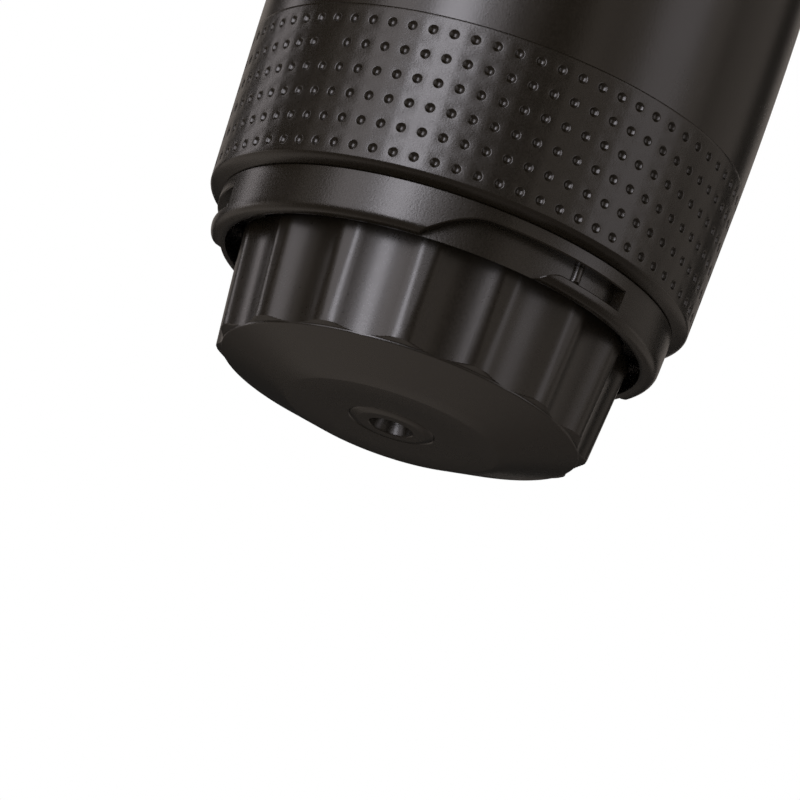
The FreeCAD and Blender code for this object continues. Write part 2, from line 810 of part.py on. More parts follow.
def outlet_head():
    body = turned("outlet_head", [
        ("recess_radius", "0"),
        ("disc_radius", "0"),
        ("rim_low_radius", "rim_rise"),
        ("rim_radius", "rim_top"),
        ("skirt_radius", "skirt_top"),
        ("skirt_radius - skirt_edge", "head_shoulder"),
        ("neck_root", "head_shoulder"),
    ] + thread_crests("neck_root", "neck_crest", "head_shoulder + neck_lead") + [
        ("neck_root", "neck_top"),
        ("neck_bore", "neck_top"),
        ("neck_bore", "head_floor"),
        ("funnel_radius", "head_floor"),
        ("pocket_radius", "pocket_top"),
        ("pocket_radius", "pocket_floor"),
        ("throat_radius", "pocket_floor"),
        ("throat_radius", "nozzle_top"),
        ("nozzle_radius", "nozzle_top"),
        ("nozzle_radius", "recess_depth"),
        ("recess_radius", "recess_depth"),
    ])
    low = new_sketch(body, "XY_Plane", "rim_top - skirt_height / 2")
    high = new_sketch(body, "XY_Plane", "skirt_top + skirt_height / 2")
    lean = "(skirt_radius - rim_radius) / 2"
    reach = "flute_radius - flute_depth"
    for sketch, place in ((low, "rim_radius - %s + %s" % (lean, reach)),
                          (high, "skirt_radius + %s + %s" % (lean, reach))):
        circle(sketch, "(%s) * cos(flute_angle)" % place,
               "(%s) * sin(flute_angle)" % place, "flute_radius")
    flute = body.newObject("PartDesign::SubtractiveLoft", "flute")
    flute.Profile = low
    flute.Sections = [high]
    flute.Ruled = True
    ring_of(body, [flute], "flute_count")
    return body


def outlet_nozzle():
    return turned("outlet_nozzle", [
        ("nozzle_mouth", "recess_depth"),
        ("nozzle_radius - seam", "recess_depth"),
        ("nozzle_radius - seam", "nozzle_top - seam"),
        ("throat_radius", "nozzle_top - seam"),
    ])


def valve_retainer():
    return turned("valve_retainer", [
        ("throat_radius", "pocket_top - seam - retainer_thickness"),
        ("pocket_radius - seam", "pocket_top - seam - retainer_thickness"),
        ("pocket_radius - seam", "pocket_top - seam"),
        ("throat_radius", "pocket_top - seam"),
    ])


def crema_plunger():
    top = "pocket_top - 2 * seam - retainer_thickness"
    return turned("crema_plunger", [
        ("0", top + " - plunger_height"),
        ("plunger_radius", top + " - plunger_height"),
        ("plunger_radius", top + " - plunger_height / 2"),
        ("plunger_tip", top),
        ("0", top),
    ])


def crema_spring():
    top = "pocket_top - 3 * seam - retainer_thickness - plunger_height"
    return coil("crema_spring", "crema_coil", "valve_wire", "pocket_floor + seam", top,
                "crema_pitch")


# ---------------------------------------------------------------- chassis

def chassis():
    body = turned("chassis", [
        ("0", "plate_bottom"),
        ("casing_bore", "plate_bottom"),
        ("casing_bore", "plate_top"),
        ("0", "plate_top"),
    ])
    saddles = new_sketch(body, "XY_Plane", "plate_top")
    for start in ("saddle_start", "clamp_start"):
        outline(saddles, [
            (start, "0 - saddle_half"),
            (start + " + saddle_width", "0 - saddle_half"),
            (start + " + saddle_width", "saddle_half"),
            (start, "saddle_half"),
        ])
    extrude(body, saddles, "saddle_top - (plate_top)")
    cradle = new_sketch(body, "YZ_Plane", "saddle_start - saddle_width")
    circle(cradle, "0", "pump_height", "cylinder_radius + seam")
    extrude(body, cradle, "cradle_length", cut=True, back=True)
    through = new_sketch(body, "XY_Plane", "plate_top")
    circle(through, "valve_offset", "0", "tube_radius + thread_play")
    for across, along in pillar_spots():
        circle(through, across, along, "body_screw_shank + free_gap")
    for across, along in chamber_spots():
        circle(through, across, along, "body_screw_shank + free_gap")
    extrude(body, through, "2 * plate_thickness", cut=True)
    sunk = new_sketch(body, "XY_Plane", "plate_top")
    for across, along in chamber_spots():
        circle(sunk, across, along, "chamber_screw_head + free_gap / 2")
    extrude(body, sunk, "chamber_head_height", cut=True)
    clamp_holes = new_sketch(body, "XY_Plane", "saddle_top")
    for along in ("clamp_screw_place", "0 - clamp_screw_place"):
        circle(clamp_holes, "clamp_middle", along, "body_screw_shank + seam")
    extrude(body, clamp_holes, "clamp_screw_length", cut=True)
    return body


def pump_clamp():
    body = new_body("pump_clamp")
    strap = new_sketch(body, "YZ_Plane", "clamp_start")
    reach = "sqrt(clamp_inner ^ 2 - (pump_height - clamp_bottom) ^ 2)"
    outline(strap, [
        ("0 - saddle_half", "clamp_bottom"),
        ("0 - saddle_half", "clamp_shelf"),
        ("0 - clamp_outer", "clamp_shelf"),
        ("0 - clamp_outer", "pump_height", "0", "pump_height + clamp_outer"),
        ("clamp_outer", "pump_height"),
        ("clamp_outer", "clamp_shelf"),
        ("saddle_half", "clamp_shelf"),
        ("saddle_half", "clamp_bottom"),
        (reach, "clamp_bottom", "0", "pump_height + clamp_inner"),
        ("0 - " + reach, "clamp_bottom"),
    ])
    extrude(body, strap, "saddle_width")
    holes = new_sketch(body, "XY_Plane", "clamp_shelf")
    for along in ("clamp_screw_place", "0 - clamp_screw_place"):
        circle(holes, "clamp_middle", along, "body_screw_shank + thread_play")
    extrude(body, holes, "2 * clamp_foot", cut=True)
    return body


# ---------------------------------------------------------------- hand pump

def pump_body():
    body = turned("pump_body", [
        ("0", "0 - chamber_end - end_wall"),
        ("cylinder_radius", "0 - chamber_end - end_wall"),
        ("cylinder_radius", "web_inner - seam - pump_flange"),
        ("flange_radius", "web_inner - seam - pump_flange"),
        ("flange_radius", "web_inner - seam"),
        ("cylinder_radius", "web_inner - seam"),
        ("cylinder_radius", "cylinder_mouth"),
        ("bore_radius", "cylinder_mouth"),
        ("bore_radius", "0 - chamber_end"),
        ("0", "0 - chamber_end"),
    ])
    block = new_sketch(body, "XY_Plane", "0 - block_outer")
    outline(block, [
        ("0 - block_half", "0 - block_half_width"),
        ("block_half", "0 - block_half_width"),
        ("block_half", "block_half_width"),
        ("0 - block_half", "block_half_width"),
    ])
    extrude(body, block, "block_outer - chamber_end")
    depth = "valve_gap + seat_thickness + plug_length"
    for side, back in (("block_half", False), ("0 - block_half", True)):
        bore = new_sketch(body, "YZ_Plane", side)
        circle(bore, "0", "0 - valve_offset", "valve_bore")
        extrude(body, bore, depth, cut=True, back=back)
    link_hole = new_sketch(body, "YZ_Plane", "web_half + seam")
    circle(link_hole, "0", "0 - valve_offset", "throat_radius")
    extrude(body, link_hole, "2 * web_half + 2 * seam", cut=True)
    port = new_sketch(body, "XY_Plane", "seam - chamber_end")
    circle(port, "0", "0", "port_radius")
    extrude(body, port, "valve_offset - chamber_end + seam", cut=True)
    return lay_on_pump_axis(body)


def cylinder_nut():
    return lay_on_pump_axis(turned("cylinder_nut", [
        ("cylinder_radius + seam", "web_outer + seam"),
        ("nut_radius", "web_outer + seam"),
        ("nut_radius", "nut_face"),
        ("rod_radius + running", "nut_face"),
        ("rod_radius + running", "cylinder_mouth + seam"),
        ("cylinder_radius + seam", "cylinder_mouth + seam"),
    ]))


def guide_sleeve():
    body = turned("guide_sleeve", [
        ("cylinder_radius + seam", "web_inner"),
        ("sleeve_radius", "web_inner"),
        ("sleeve_radius", "sleeve_end"),
        ("sleeve_bore", "sleeve_end"),
        ("sleeve_bore", "web_outer"),
        ("cylinder_radius + seam", "web_outer"),
    ])
    spans = (
        ("0 - lug_angle / 2 - slot_side_angle", "ledge_angle + lug_angle / 2 + slot_side_angle",
         "web_outer", "slot_end"),
        ("ledge_angle - slot_side_angle", "lock_angle + slot_side_angle", "web_outer", "ledge_start"),
        ("ledge_angle - slot_side_angle", "lock_angle + slot_side_angle", "ledge_end", "slot_end"),
    )
    cuts = []
    for start, sweep, low, high in spans:
        cuts.append(sector(body, [
            ("sleeve_bore - seam", low),
            ("slot_floor", low),
            ("slot_floor", high),
            ("sleeve_bore - seam", high),
        ], start, sweep, True))
    ring_of(body, cuts, "2")
    return lay_on_pump_axis(body)


def piston_rod():
    return lay_on_pump_axis(turned("piston_rod", [
        ("0", "tip_place"),
        ("tip_radius", "tip_place"),
        ("tip_radius", "tip_place + tip_length"),
        ("rod_neck", "tip_place + tip_length"),
        ("rod_neck", "seal_end + thread_play"),
        ("rod_radius", "seal_end + thread_play"),
        ("rod_radius", "rod_end"),
        ("0", "rod_end"),
    ]))


def piston_seal():
    return lay_on_pump_axis(turned("piston_seal", [
        ("rod_neck + seam", "seal_start"),
        ("bore_radius - seam", "seal_start"),
        ("bore_radius - seam", "seal_start + seal_lip"),
        ("bore_radius - seal_waist", "seal_start + seal_lip + seal_lip_slope"),
        ("bore_radius - seal_waist", "seal_end - seal_lip - seal_lip_slope"),
        ("bore_radius - seam", "seal_end - seal_lip"),
        ("bore_radius - seam", "seal_end"),
        ("rod_neck + seam", "seal_end"),
    ]))


def piston_knob():
    body = turned("piston_knob", [
        ("0", "knob_face - cap_inset"),
        ("cap_radius + seam", "knob_face - cap_inset"),
        ("cap_radius + seam", "knob_face"),
        ("knob_radius - knob_edge", "knob_face",
         "knob_radius - round_share * knob_edge", "knob_face - round_share * knob_edge"),
        ("knob_radius", "knob_face - knob_edge"),
        ("knob_radius", "knob_mouth"),
        ("knob_radius - knob_wall", "knob_mouth"),
        ("knob_radius - knob_wall", "knob_ceiling"),
        ("socket_radius", "knob_ceiling"),
        ("socket_radius", "socket_mouth"),
        ("rod_radius", "socket_mouth"),
        ("rod_radius", "rod_end"),
        ("0", "rod_end"),
    ])
    lug = sector(body, [
        ("knob_radius - knob_wall / 2", "knob_mouth"),
        ("knob_radius + lug_height", "knob_mouth"),
        ("knob_radius + lug_height", "lug_end"),
        ("knob_radius - knob_wall / 2", "lug_end"),
    ], "0 - lug_angle / 2", "lug_angle", False)
    ring_of(body, [lug], "2")
    return lay_on_pump_axis(body)


def knob_cap():
    return lay_on_pump_axis(turned("knob_cap", [
        ("0", "knob_face - cap_inset"),
        ("cap_radius", "knob_face - cap_inset"),
        ("cap_radius", "knob_face"),
        ("cap_radius - cap_proud", "knob_face + cap_proud"),
        ("0", "knob_face + cap_proud"),
    ]))


def thrust_washer():
    return lay_on_pump_axis(turned("thrust_washer", [
        ("rod_radius + free_gap", "nut_face + seam"),
        ("washer_radius", "nut_face + seam"),
        ("washer_radius", "washer_face"),
        ("rod_radius + free_gap", "washer_face"),
    ]))


def return_spring():
    return lay_on_pump_axis(coil("return_spring", "spring_radius", "spring_wire",
                                 "washer_face + seam", "knob_ceiling - seam", "spring_pitch"))


# ---------------------------------------------------------------- valves and tubes

def check_valve(prefix, floor):
    """A ball that a light spring lifts against a rubber seat above it."""
    seat = turned(prefix + "_seat", [
        ("seat_bore", "valve_gap"),
        ("plug_radius", "valve_gap"),
        ("plug_radius", "valve_gap + seat_thickness - seam"),
        ("seat_bore", "valve_gap + seat_thickness - seam"),
    ])
    stand_at(seat, "valve_offset", "0", floor)
    ball = doc.addObject("Part::Sphere", prefix + "_ball")
    ball.Label = prefix + "_ball"
    ball.setExpression("Radius", link("ball_radius"))
    stand_at(ball, "valve_offset", "0", "%s + ball_height" % floor)
    clear = "sqrt((ball_radius + valve_wire / 2 + seam) ^ 2 - valve_coil ^ 2)"
    spring = coil(prefix + "_spring", "valve_coil", "valve_wire", "seam",
                  "ball_height - %s + valve_wire / 2" % clear, "valve_pitch")
    stand_at(spring, "valve_offset", "0", floor)
    return [seat, ball, spring]


def valve_plug(label, up, place):
    """A press-in plug with a flange outside and a socket for a tube. up is 1
    where the flange is on top and -1 where it is below."""
    way = "%d * " % up
    body = turned(label, [
        ("tube_bore", "0"),
        ("plug_radius", "0"),
        ("plug_radius", way + "(plug_length + seam)"),
        ("plug_flange", way + "(plug_length + seam)"),
        ("plug_flange", way + "(plug_length + seam + flange_thickness)"),
        ("tube_radius + seam", way + "(plug_length + seam + flange_thickness)"),
        ("tube_radius + seam", way + "plug_ledge"),
        ("tube_bore", way + "plug_ledge"),
    ])
    return stand_at(body, "valve_offset", "0", place)


def tube(label, low, high):
    body = turned(label, [
        ("tube_bore", low),
        ("tube_radius", low),
        ("tube_radius", high),
        ("tube_bore", high),
    ])
    return stand_at(body, "valve_offset")


def inlet_strainer():
    body = turned("inlet_strainer", [
        ("0", "0"),
        ("strainer_radius", "0"),
        ("strainer_radius", "strainer_thickness"),
        ("0", "strainer_thickness"),
    ])
    holes_in(body, "strainer_thickness", "strainer_radius", "2 * strainer_thickness",
             "strainer_hole_count", "strainer_hole_share * (strainer_radius)")
    return stand_at(body, "valve_offset", "0", "deck_top + seam")


def vent_valve():
    body = turned("vent_valve", [
        ("0", "0 - deck_thickness - free_gap - vent_bulb_height"),
        ("vent_stem + vent_bulb", "0 - deck_thickness - free_gap - vent_bulb_height"),
        ("vent_stem + vent_bulb", "0 - deck_thickness - free_gap"),
        ("vent_stem", "0 - deck_thickness - free_gap"),
        ("vent_stem", "seam"),
        ("vent_cap", "seam"),
        ("vent_cap - vent_cap_edge", "vent_cap_share * vent_cap_height"),
        ("0", "vent_cap_height"),
    ])
    return stand_at(body, "vent_place", "0", "deck_top")


# ---------------------------------------------------------------- tank

def water_tank():
    return turned("water_tank", [
        ("tank_base", "tank_bottom",
         "tank_side", "tank_bottom + tank_side_share * tank_height"),
        ("tank_shoulder", "tank_top - tank_shoulder_drop",
         "tank_corner", "tank_top - tank_corner_drop"),
        ("tank_crown", "tank_top"),
        ("0", "tank_top"),
        ("0", "tank_top - tank_roof"),
        ("tank_crown - tank_roof / 2", "tank_top - tank_roof",
         "tank_corner - tank_corner_share * tank_wall",
         "tank_top - tank_corner_drop - tank_corner_share * tank_wall"),
        ("tank_shoulder - tank_wall", "tank_top - tank_shoulder_drop - tank_roof_start"),
        ("tank_bore", "tank_top - tank_shoulder_drop - tank_roof_drop"),
        ("tank_bore", "tank_step"),
        ("tank_thread_bore", "tank_step"),
        ("tank_thread_bore", "tank_bottom"),
    ])


def tank_gasket():
    return turned("tank_gasket", [
        ("spigot_bore + 2 * thread_play", "spigot_top + seam"),
        ("tank_thread_bore - seam", "spigot_top + seam"),
        ("tank_thread_bore - seam", "tank_step - seam"),
        ("spigot_bore + 2 * thread_play", "tank_step - seam"),
    ])


# ---------------------------------------------------------------- assembly

def build():
    pieces = [
        grip_band(), bayonet_collar(), main_body(), brew_chamber(), brew_gasket(),
        shower_plate(), filter_basket(), basket_screen(), outlet_head(), outlet_nozzle(),
        valve_retainer(), crema_plunger(), crema_spring(), chassis(), pump_clamp(),
        pump_body(), cylinder_nut(), guide_sleeve(), piston_rod(), piston_seal(),
        piston_knob(), knob_cap(), thrust_washer(), return_spring(), inlet_strainer(),
        vent_valve(), water_tank(), tank_gasket(),
    ]
    pieces += check_valve("inlet", "inlet_floor")
    pieces += check_valve("delivery", "delivery_floor")
    pieces.append(valve_plug("inlet_plug", 1, "pump_height + block_half - plug_length"))
    pieces.append(valve_plug("delivery_plug", -1, "pump_height - block_half + plug_length"))
    pieces.append(tube("intake_tube", "pump_height + tube_socket + seam", "tube_top"))
    pieces.append(tube("transfer_tube", "chamber_top - ceiling_height / 2 + seam",
                       "pump_height - tube_socket - seam"))
    pieces.append(screws("body_screws", pillar_spots(), "body_screw_head", "body_head_height",
                         "body_screw_shank", "body_screw_length", "plate_bottom - seam", True))
    pieces.append(screws("chamber_screws", chamber_spots(), "chamber_screw_head",
                         "chamber_head_height - seam", "body_screw_shank",
                         "chamber_screw_length", "plate_top - chamber_head_height + seam", False))
    pieces.append(screws("collar_screws", collar_spots(), "collar_screw_head",
                         "collar_head_height", "collar_screw_shank", "collar_screw_length",
                         "grip_base", True))
    clamp_spots = [("clamp_middle", "clamp_screw_place"), ("clamp_middle", "0 - clamp_screw_place")]
    pieces.append(screws("clamp_screws", clamp_spots, "clamp_screw_head", "clamp_head_height",
                         "body_screw_shank", "clamp_screw_length", "clamp_shelf + seam", False))
    pieces.append(screws("shower_screw", [("0", "0")], "shower_screw_head",
                         "shower_head_height", "body_screw_shank", "shower_screw_length",
                         "chamber_ceiling + seam", True))
    return pieces


def check(pieces):
    for item in doc.Objects:
        if "Invalid" in item.State or "Error" in item.State:
            raise RuntimeError("%s failed: %s" % (item.Name, item.State))
    for piece in pieces:
        if piece.Shape.isNull() or not piece.Shape.isValid():
            raise RuntimeError("%s has no valid shape" % piece.Label)


fill_sheet()
all_pieces = build()
doc.recompute()
check(all_pieces)
os.makedirs("parts", exist_ok=True)
for piece in all_pieces:
    piece.Shape.exportStep("parts/%s.step" % piece.Label)
    print("%-16s solids %d  volume %9.1f" % (
        piece.Label, len(piece.Shape.Solids), piece.Shape.Volume))
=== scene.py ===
from math import atan2, cos, degrees, hypot, inf, pi, radians, sin, sqrt, tau

import bmesh
import bpy
import numpy as np
from mathutils import Matrix, Vector


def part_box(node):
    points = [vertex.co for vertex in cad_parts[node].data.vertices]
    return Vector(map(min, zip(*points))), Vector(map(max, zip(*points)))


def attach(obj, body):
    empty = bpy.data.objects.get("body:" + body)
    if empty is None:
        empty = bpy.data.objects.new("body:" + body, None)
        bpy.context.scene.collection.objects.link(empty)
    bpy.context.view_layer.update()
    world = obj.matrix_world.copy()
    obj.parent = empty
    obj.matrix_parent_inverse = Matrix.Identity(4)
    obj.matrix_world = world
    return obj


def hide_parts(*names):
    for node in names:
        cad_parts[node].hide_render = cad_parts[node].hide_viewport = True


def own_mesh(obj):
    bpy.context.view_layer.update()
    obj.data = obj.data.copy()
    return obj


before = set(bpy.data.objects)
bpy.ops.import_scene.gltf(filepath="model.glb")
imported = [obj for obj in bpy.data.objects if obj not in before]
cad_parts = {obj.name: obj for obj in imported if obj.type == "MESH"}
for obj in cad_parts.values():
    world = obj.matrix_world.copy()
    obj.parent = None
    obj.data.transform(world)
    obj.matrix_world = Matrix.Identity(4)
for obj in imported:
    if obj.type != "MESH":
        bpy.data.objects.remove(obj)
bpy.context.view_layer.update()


# ---------------- outlet head
# The fluted head that screws into the brew chamber: fifteen concave flutes to grip, a shallow cone and a flat
# disc underneath, and a neck with a three-start thread.
# Moulded in glass-filled nylon, one piece, a little glossier than the casing.

MM = 0.001                      # sizes below are in millimetres, angles in degrees


def solid(name, points, faces):
    """An object with that mesh, not in the scene yet."""
    mesh = bpy.data.meshes.new(name)
    mesh.from_pydata(points, [], faces)
    return bpy.data.objects.new(name, mesh)


def wall(name, turns, sections, whole_turn=True):
    """A wall round the maker's axis: a section of (radius, height) at each turn from the front to the right.

    Each section is closed and runs counter-clockwise. An open wall is one sector."""
    sections = np.array(sections, float)
    count, rows = sections.shape[:2]
    turned, radius, height = np.radians(turns)[:, None], sections[..., 0], sections[..., 1]
    points = np.stack([radius * np.sin(turned), -radius * np.cos(turned), height], -1) * MM
    here = np.arange(count if whole_turn else count - 1)[:, None] * rows
    ahead = (here + rows) % (count * rows)
    row = np.arange(rows)[None, :]
    above = (row + 1) % rows
    faces = np.stack([here + row, ahead + row, ahead + above, here + above], -1).reshape(-1, 4)
    return solid(name, points.reshape(-1, 3).tolist(), faces.tolist())


def spun(name, section, step=3.0):
    """A wall with one section all the way round."""
    turns = np.arange(0, 360, step)
    return wall(name, turns, [section] * len(turns))


def held(value, most=1):
    """The value, held between 0 and the most."""
    return min(max(value, 0), most)


def between(first, last, share):
    """The value that far along from the first to the last."""
    return first + (last - first) * share


def rounded(radius, height, edge, count):
    """Places round an upper outer edge, from the wall to the top face."""
    turns = [pi / 2 * step / count for step in range(count + 1)]
    return [(radius - edge * (1 - cos(turn)), height - edge * (1 - sin(turn))) for turn in turns]


def node_in(tree, kind, settings=(), inputs=(), output=0):
    """One output of a new node in any tree: its settings first, then the values or links of its inputs."""
    node = tree.nodes.new(kind)
    for setting, chosen in dict(settings).items():
        setattr(node, setting, chosen)
    for socket, given in dict(inputs).items():
        if isinstance(given, bpy.types.NodeSocket):
            tree.links.new(given, node.inputs[socket])
        else:
            node.inputs[socket].default_value = given
    return node.outputs[output]


def ring_tree():
    """Turns a sector, with another in its place at one spot, into a whole ring round the axis."""
    tree = bpy.data.node_groups.new("ring_of_sectors", "GeometryNodeTree")
    tree.interface.new_socket("Ring", in_out="OUTPUT", socket_type="NodeSocketGeometry")
    for label, kind in (("Sector", "Object"), ("Odd sector", "Object"), ("Odd place", "Int"),
                        ("Count", "Int"), ("Finish", "Material")):
        tree.interface.new_socket(label, in_out="INPUT", socket_type="NodeSocket" + kind)
    given = tree.nodes.new("NodeGroupInput").outputs
    places = node_in(tree, "GeometryNodePoints", inputs={"Count": given["Count"]})
    number = node_in(tree, "GeometryNodeInputIndex")
    step = node_in(tree, "ShaderNodeMath", {"operation": "DIVIDE"}, {0: tau, 1: given["Count"]})
    turned = node_in(tree, "ShaderNodeMath", {"operation": "MULTIPLY"}, {0: number, 1: step})
    spin = node_in(tree, "ShaderNodeCombineXYZ", inputs={"Z": turned})
    odd = node_in(tree, "FunctionNodeCompare", {"data_type": "INT", "operation": "EQUAL"},
                  {"A": number, "B": given["Odd place"]})
    usual = node_in(tree, "FunctionNodeBooleanMath", {"operation": "NOT"}, {0: odd})
    rings = []
    for sector, chosen in (("Sector", usual), ("Odd sector", odd)):
        shape = node_in(tree, "GeometryNodeObjectInfo", inputs={"Object": given[sector]}, output="Geometry")
        rings.append(node_in(tree, "GeometryNodeInstanceOnPoints", inputs={
            "Points": places, "Instance": shape, "Rotation": spin, "Selection": chosen}))
    both = node_in(tree, "GeometryNodeJoinGeometry", inputs={0: rings[0]})
    tree.links.new(rings[1], both.node.inputs[0])
    real = node_in(tree, "GeometryNodeRealizeInstances", inputs={0: both})
    whole = node_in(tree, "GeometryNodeMergeByDistance", inputs={"Geometry": real, "Distance": 2e-6})
    painted = node_in(tree, "GeometryNodeSetMaterial",
                      inputs={"Geometry": whole, "Material": given["Finish"]})
    tree.links.new(painted, tree.nodes.new("NodeGroupOutput").inputs[0])
    return tree


RING = ring_tree()


def placed(name, data):
    """A new object in the scene."""
    piece = bpy.data.objects.new(name, data)
    bpy.context.scene.collection.objects.link(piece)
    return piece


def shown(name, mesh, crease):
    """An object in the scene for that mesh, smooth except across edges sharper than the crease."""
    mesh.shade_smooth()
    mesh.set_sharp_from_angle(angle=radians(crease))
    return placed(name, mesh)


def ring_of(name, piece, count, finish, crease=40, odd=None, odd_place=-1):
    """The whole ring that one sector makes, as a plain mesh."""
    maker = placed(name + "_maker", bpy.data.meshes.new(name + "_maker"))
    ring = maker.modifiers.new("ring", "NODES")
    ring.node_group = RING
    sockets = {item.name: item.identifier for item in RING.interface.items_tree}
    ring[sockets["Sector"]] = piece
    ring[sockets["Odd sector"]] = odd or piece
    ring[sockets["Odd place"]] = odd_place
    ring[sockets["Count"]] = count
    ring[sockets["Finish"]] = finish
    view = bpy.context.evaluated_depsgraph_get()
    mesh = bpy.data.meshes.new_from_object(maker.evaluated_get(view))
    mesh.name = name
    for spare in (maker, piece, odd):
        if spare:
            bpy.data.objects.remove(spare)
    return shown(name, mesh, crease)


class Field:
    """A value in a material, a node's output, that takes arithmetic as Python writes it."""

    def __init__(self, finish, socket):
        self.finish = finish
        self.socket = socket

    def maths(self, operation, first, second):
        return self.finish.add("ShaderNodeMath", {"operation": operation}, {0: first, 1: second})

    def __add__(self, other):
        return self.maths("ADD", self, other)

    def __sub__(self, other):
        return self.maths("SUBTRACT", self, other)

    def __mul__(self, other):
        return self.maths("MULTIPLY", self, other)

    def __radd__(self, other):
        return self.maths("ADD", other, self)

    def __rsub__(self, other):
        return self.maths("SUBTRACT", other, self)

    def __rmul__(self, other):
        return self.maths("MULTIPLY", other, self)


class Finish:
    """A material with its Principled shader. What is the same all over the surface is set when it is made."""

    def __init__(self, name, colour, **fixed):
        self.material = bpy.data.materials.new(name)
        self.material.use_nodes = True
        self.material.diffuse_color = (*colour, 1)
        self.tree = self.material.node_tree
        self.shader = self.tree.nodes["Principled BSDF"]
        self.shader.inputs["Base Color"].default_value = (*colour, 1)
        for socket, value in fixed.items():
            self.shader.inputs[socket.replace("_", " ")].default_value = value

    def add(self, kind, settings=(), inputs=(), output=0):
        """One output of a new node: its settings first, then the values or fields of its sockets."""
        given = {socket: getattr(value, "socket", value) for socket, value in dict(inputs).items()}
        return Field(self, node_in(self.tree, kind, settings, given, output))

    def vary(self, socket, value):
        """Lets a field drive one of the shader's sockets."""
        self.tree.links.new(value.socket, self.shader.inputs[socket])

    def place(self):
        return self.add("ShaderNodeTexCoord", output="Object")

    def noise(self, size, detail=2.0, place=None):
        """Soft grain whose lumps are about that many millimetres across, from 0 to 1."""
        return self.add("ShaderNodeTexNoise", inputs={
            "Vector": place or self.place(), "Scale": 1 / (size * MM), "Detail": detail})

    def clear(self, value, low, high, start=0.0, end=1.0):
        """The value stretched from low..high to start..end and held there."""
        return self.add("ShaderNodeMapRange", {"clamp": True}, {
            "Value": value, "From Min": low, "From Max": high, "To Min": start, "To Max": end})

    def blend(self, share, first, second):
        """A colour between two, each a field or three numbers."""
        colours = [c if isinstance(c, Field) else (*c, 1) for c in (first, second)]
        return self.add("ShaderNodeMix", {"data_type": "RGBA"}, {0: share, 6: colours[0], 7: colours[1]}, 2)

    def raise_by(self, height, depth):
        """Bumps the surface by a field times a depth in millimetres."""
        self.vary("Normal", self.add("ShaderNodeBump", inputs={"Height": height, "Distance": depth * MM}))


def moulded(name, colour, roughness, grain, depth):
    """Matt-etched moulded plastic: a fine grain, and faint marks where it is handled."""
    finish = Finish(name, colour)
    etched = finish.noise(grain)
    handled = finish.noise(9, 4)
    finish.vary("Roughness", roughness + (etched - 0.5) * 0.10 + (handled - 0.5) * 0.08)
    lighter = [share * 1.35 for share in colour]
    finish.vary("Base Color", finish.blend(finish.clear(etched, 0.35, 0.75), colour, lighter))
    finish.raise_by(etched, depth)
    return finish.material


CHARCOAL = (0.0052, 0.0038, 0.0020)
HEAD_PLASTIC = moulded("satin_head_plastic", CHARCOAL, 0.29, 0.30, 0.0006)

HEAD_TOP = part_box("outlet_head")[1].z / MM
FLUTES = 15
DISC_RADIUS = 13.4
DISC_RISE = 0.25                # the outlet's low boss stands this far below the disc
CONE_RISE = 3.3
CONE_RADIUS = 22.3
LAND_RISE = 3.49                # a narrow upright land runs round the cone, below the skirt's foot
RIM_RISE = 3.88
RIM_RADIUS = 23.31
SKIRT_TOP = 16.3
SKIRT_RADIUS = 24.45
SHOULDER = 17.0
SHOULDER_EDGE = 0.7
FLUTE_DEPTH = 1.0
FLUTE_RADIUS = 11.0
RIDGE_RADIUS = 3.8
FIRST_FLUTE = 6.3               # the middle of one flute, from the front to the right
NECK_ROOT = 21.9
NECK_CREST = 22.65
NECK_BORE = 20.4
FIRST_CREST = 25.6
THREAD_STARTS = 3
THREAD_PITCH = 3.0
CREST_HALF_WIDTH = 1.0
CREST_SLOPE = 0.5
BASKET_SEAT = 16.0
FUNNEL_RADIUS = 17.2            # a funnel leads from the seat down to the well of the valve
WELL_RADIUS = 4.8
WELL_TOP = 11.0
WELL_FLOOR = 6.4
OUTLET_RADIUS = 1.5
RECESS_FLOOR = 4.0              # the recess that takes the nozzle, with a wider mouth
RECESS_RADIUS = 4.6
RECESS_STEP = 1.6
RECESS_MOUTH = 5.3
COLUMNS_PER_FLUTE = 24


def skirt_radius(height):
    """The skirt's plain radius, before the flutes are cut."""
    return between(RIM_RADIUS, SKIRT_RADIUS, (height - RIM_RISE) / (SKIRT_TOP - RIM_RISE))


def fluted(off_middle, height):
    """The skirt's radius at a place across one flute: its round hollow, or the rounded ridge beside it."""
    hollow = skirt_radius(height) - FLUTE_DEPTH + FLUTE_RADIUS
    half = pi / FLUTES
    along, aside = hollow * cos(half), hollow * sin(half)
    reach = FLUTE_RADIUS + RIDGE_RADIUS
    ridge = along - sqrt(reach ** 2 - aside ** 2)
    share = RIDGE_RADIUS / reach
    meeting = atan2(aside * share, ridge + (along - ridge) * share)
    off_ridge = half - abs(radians(off_middle))
    if off_ridge < meeting:
        return ridge * cos(off_ridge) + sqrt(RIDGE_RADIUS ** 2 - (ridge * sin(off_ridge)) ** 2)
    across = radians(off_middle)
    return hollow * cos(across) - sqrt(FLUTE_RADIUS ** 2 - (hollow * sin(across)) ** 2)


def flute_offsets():
    """Places of the columns across one flute, closer together at its two ridges."""
    half = COLUMNS_PER_FLUTE // 2
    return [180 / FLUTES * sin(pi / 2 * step / half) for step in range(-half, half + 1)]


def threaded(turned, heights, root, crest, first_crest, low, run_in, high, run_out):
    """Places of a section along a three-start thread that fades in above low and out below high."""
    places = []
    for height in heights:
        turns_up = (height - first_crest - THREAD_STARTS * THREAD_PITCH * turned / 360) / THREAD_PITCH
        away = abs(turns_up - round(turns_up)) * THREAD_PITCH
        faded = held((height - low) / run_in) * held((high - height) / run_out)
        ridge = held((CREST_HALF_WIDTH - away) / CREST_SLOPE) * faded
        places.append((between(root, crest, ridge), height))
    return places


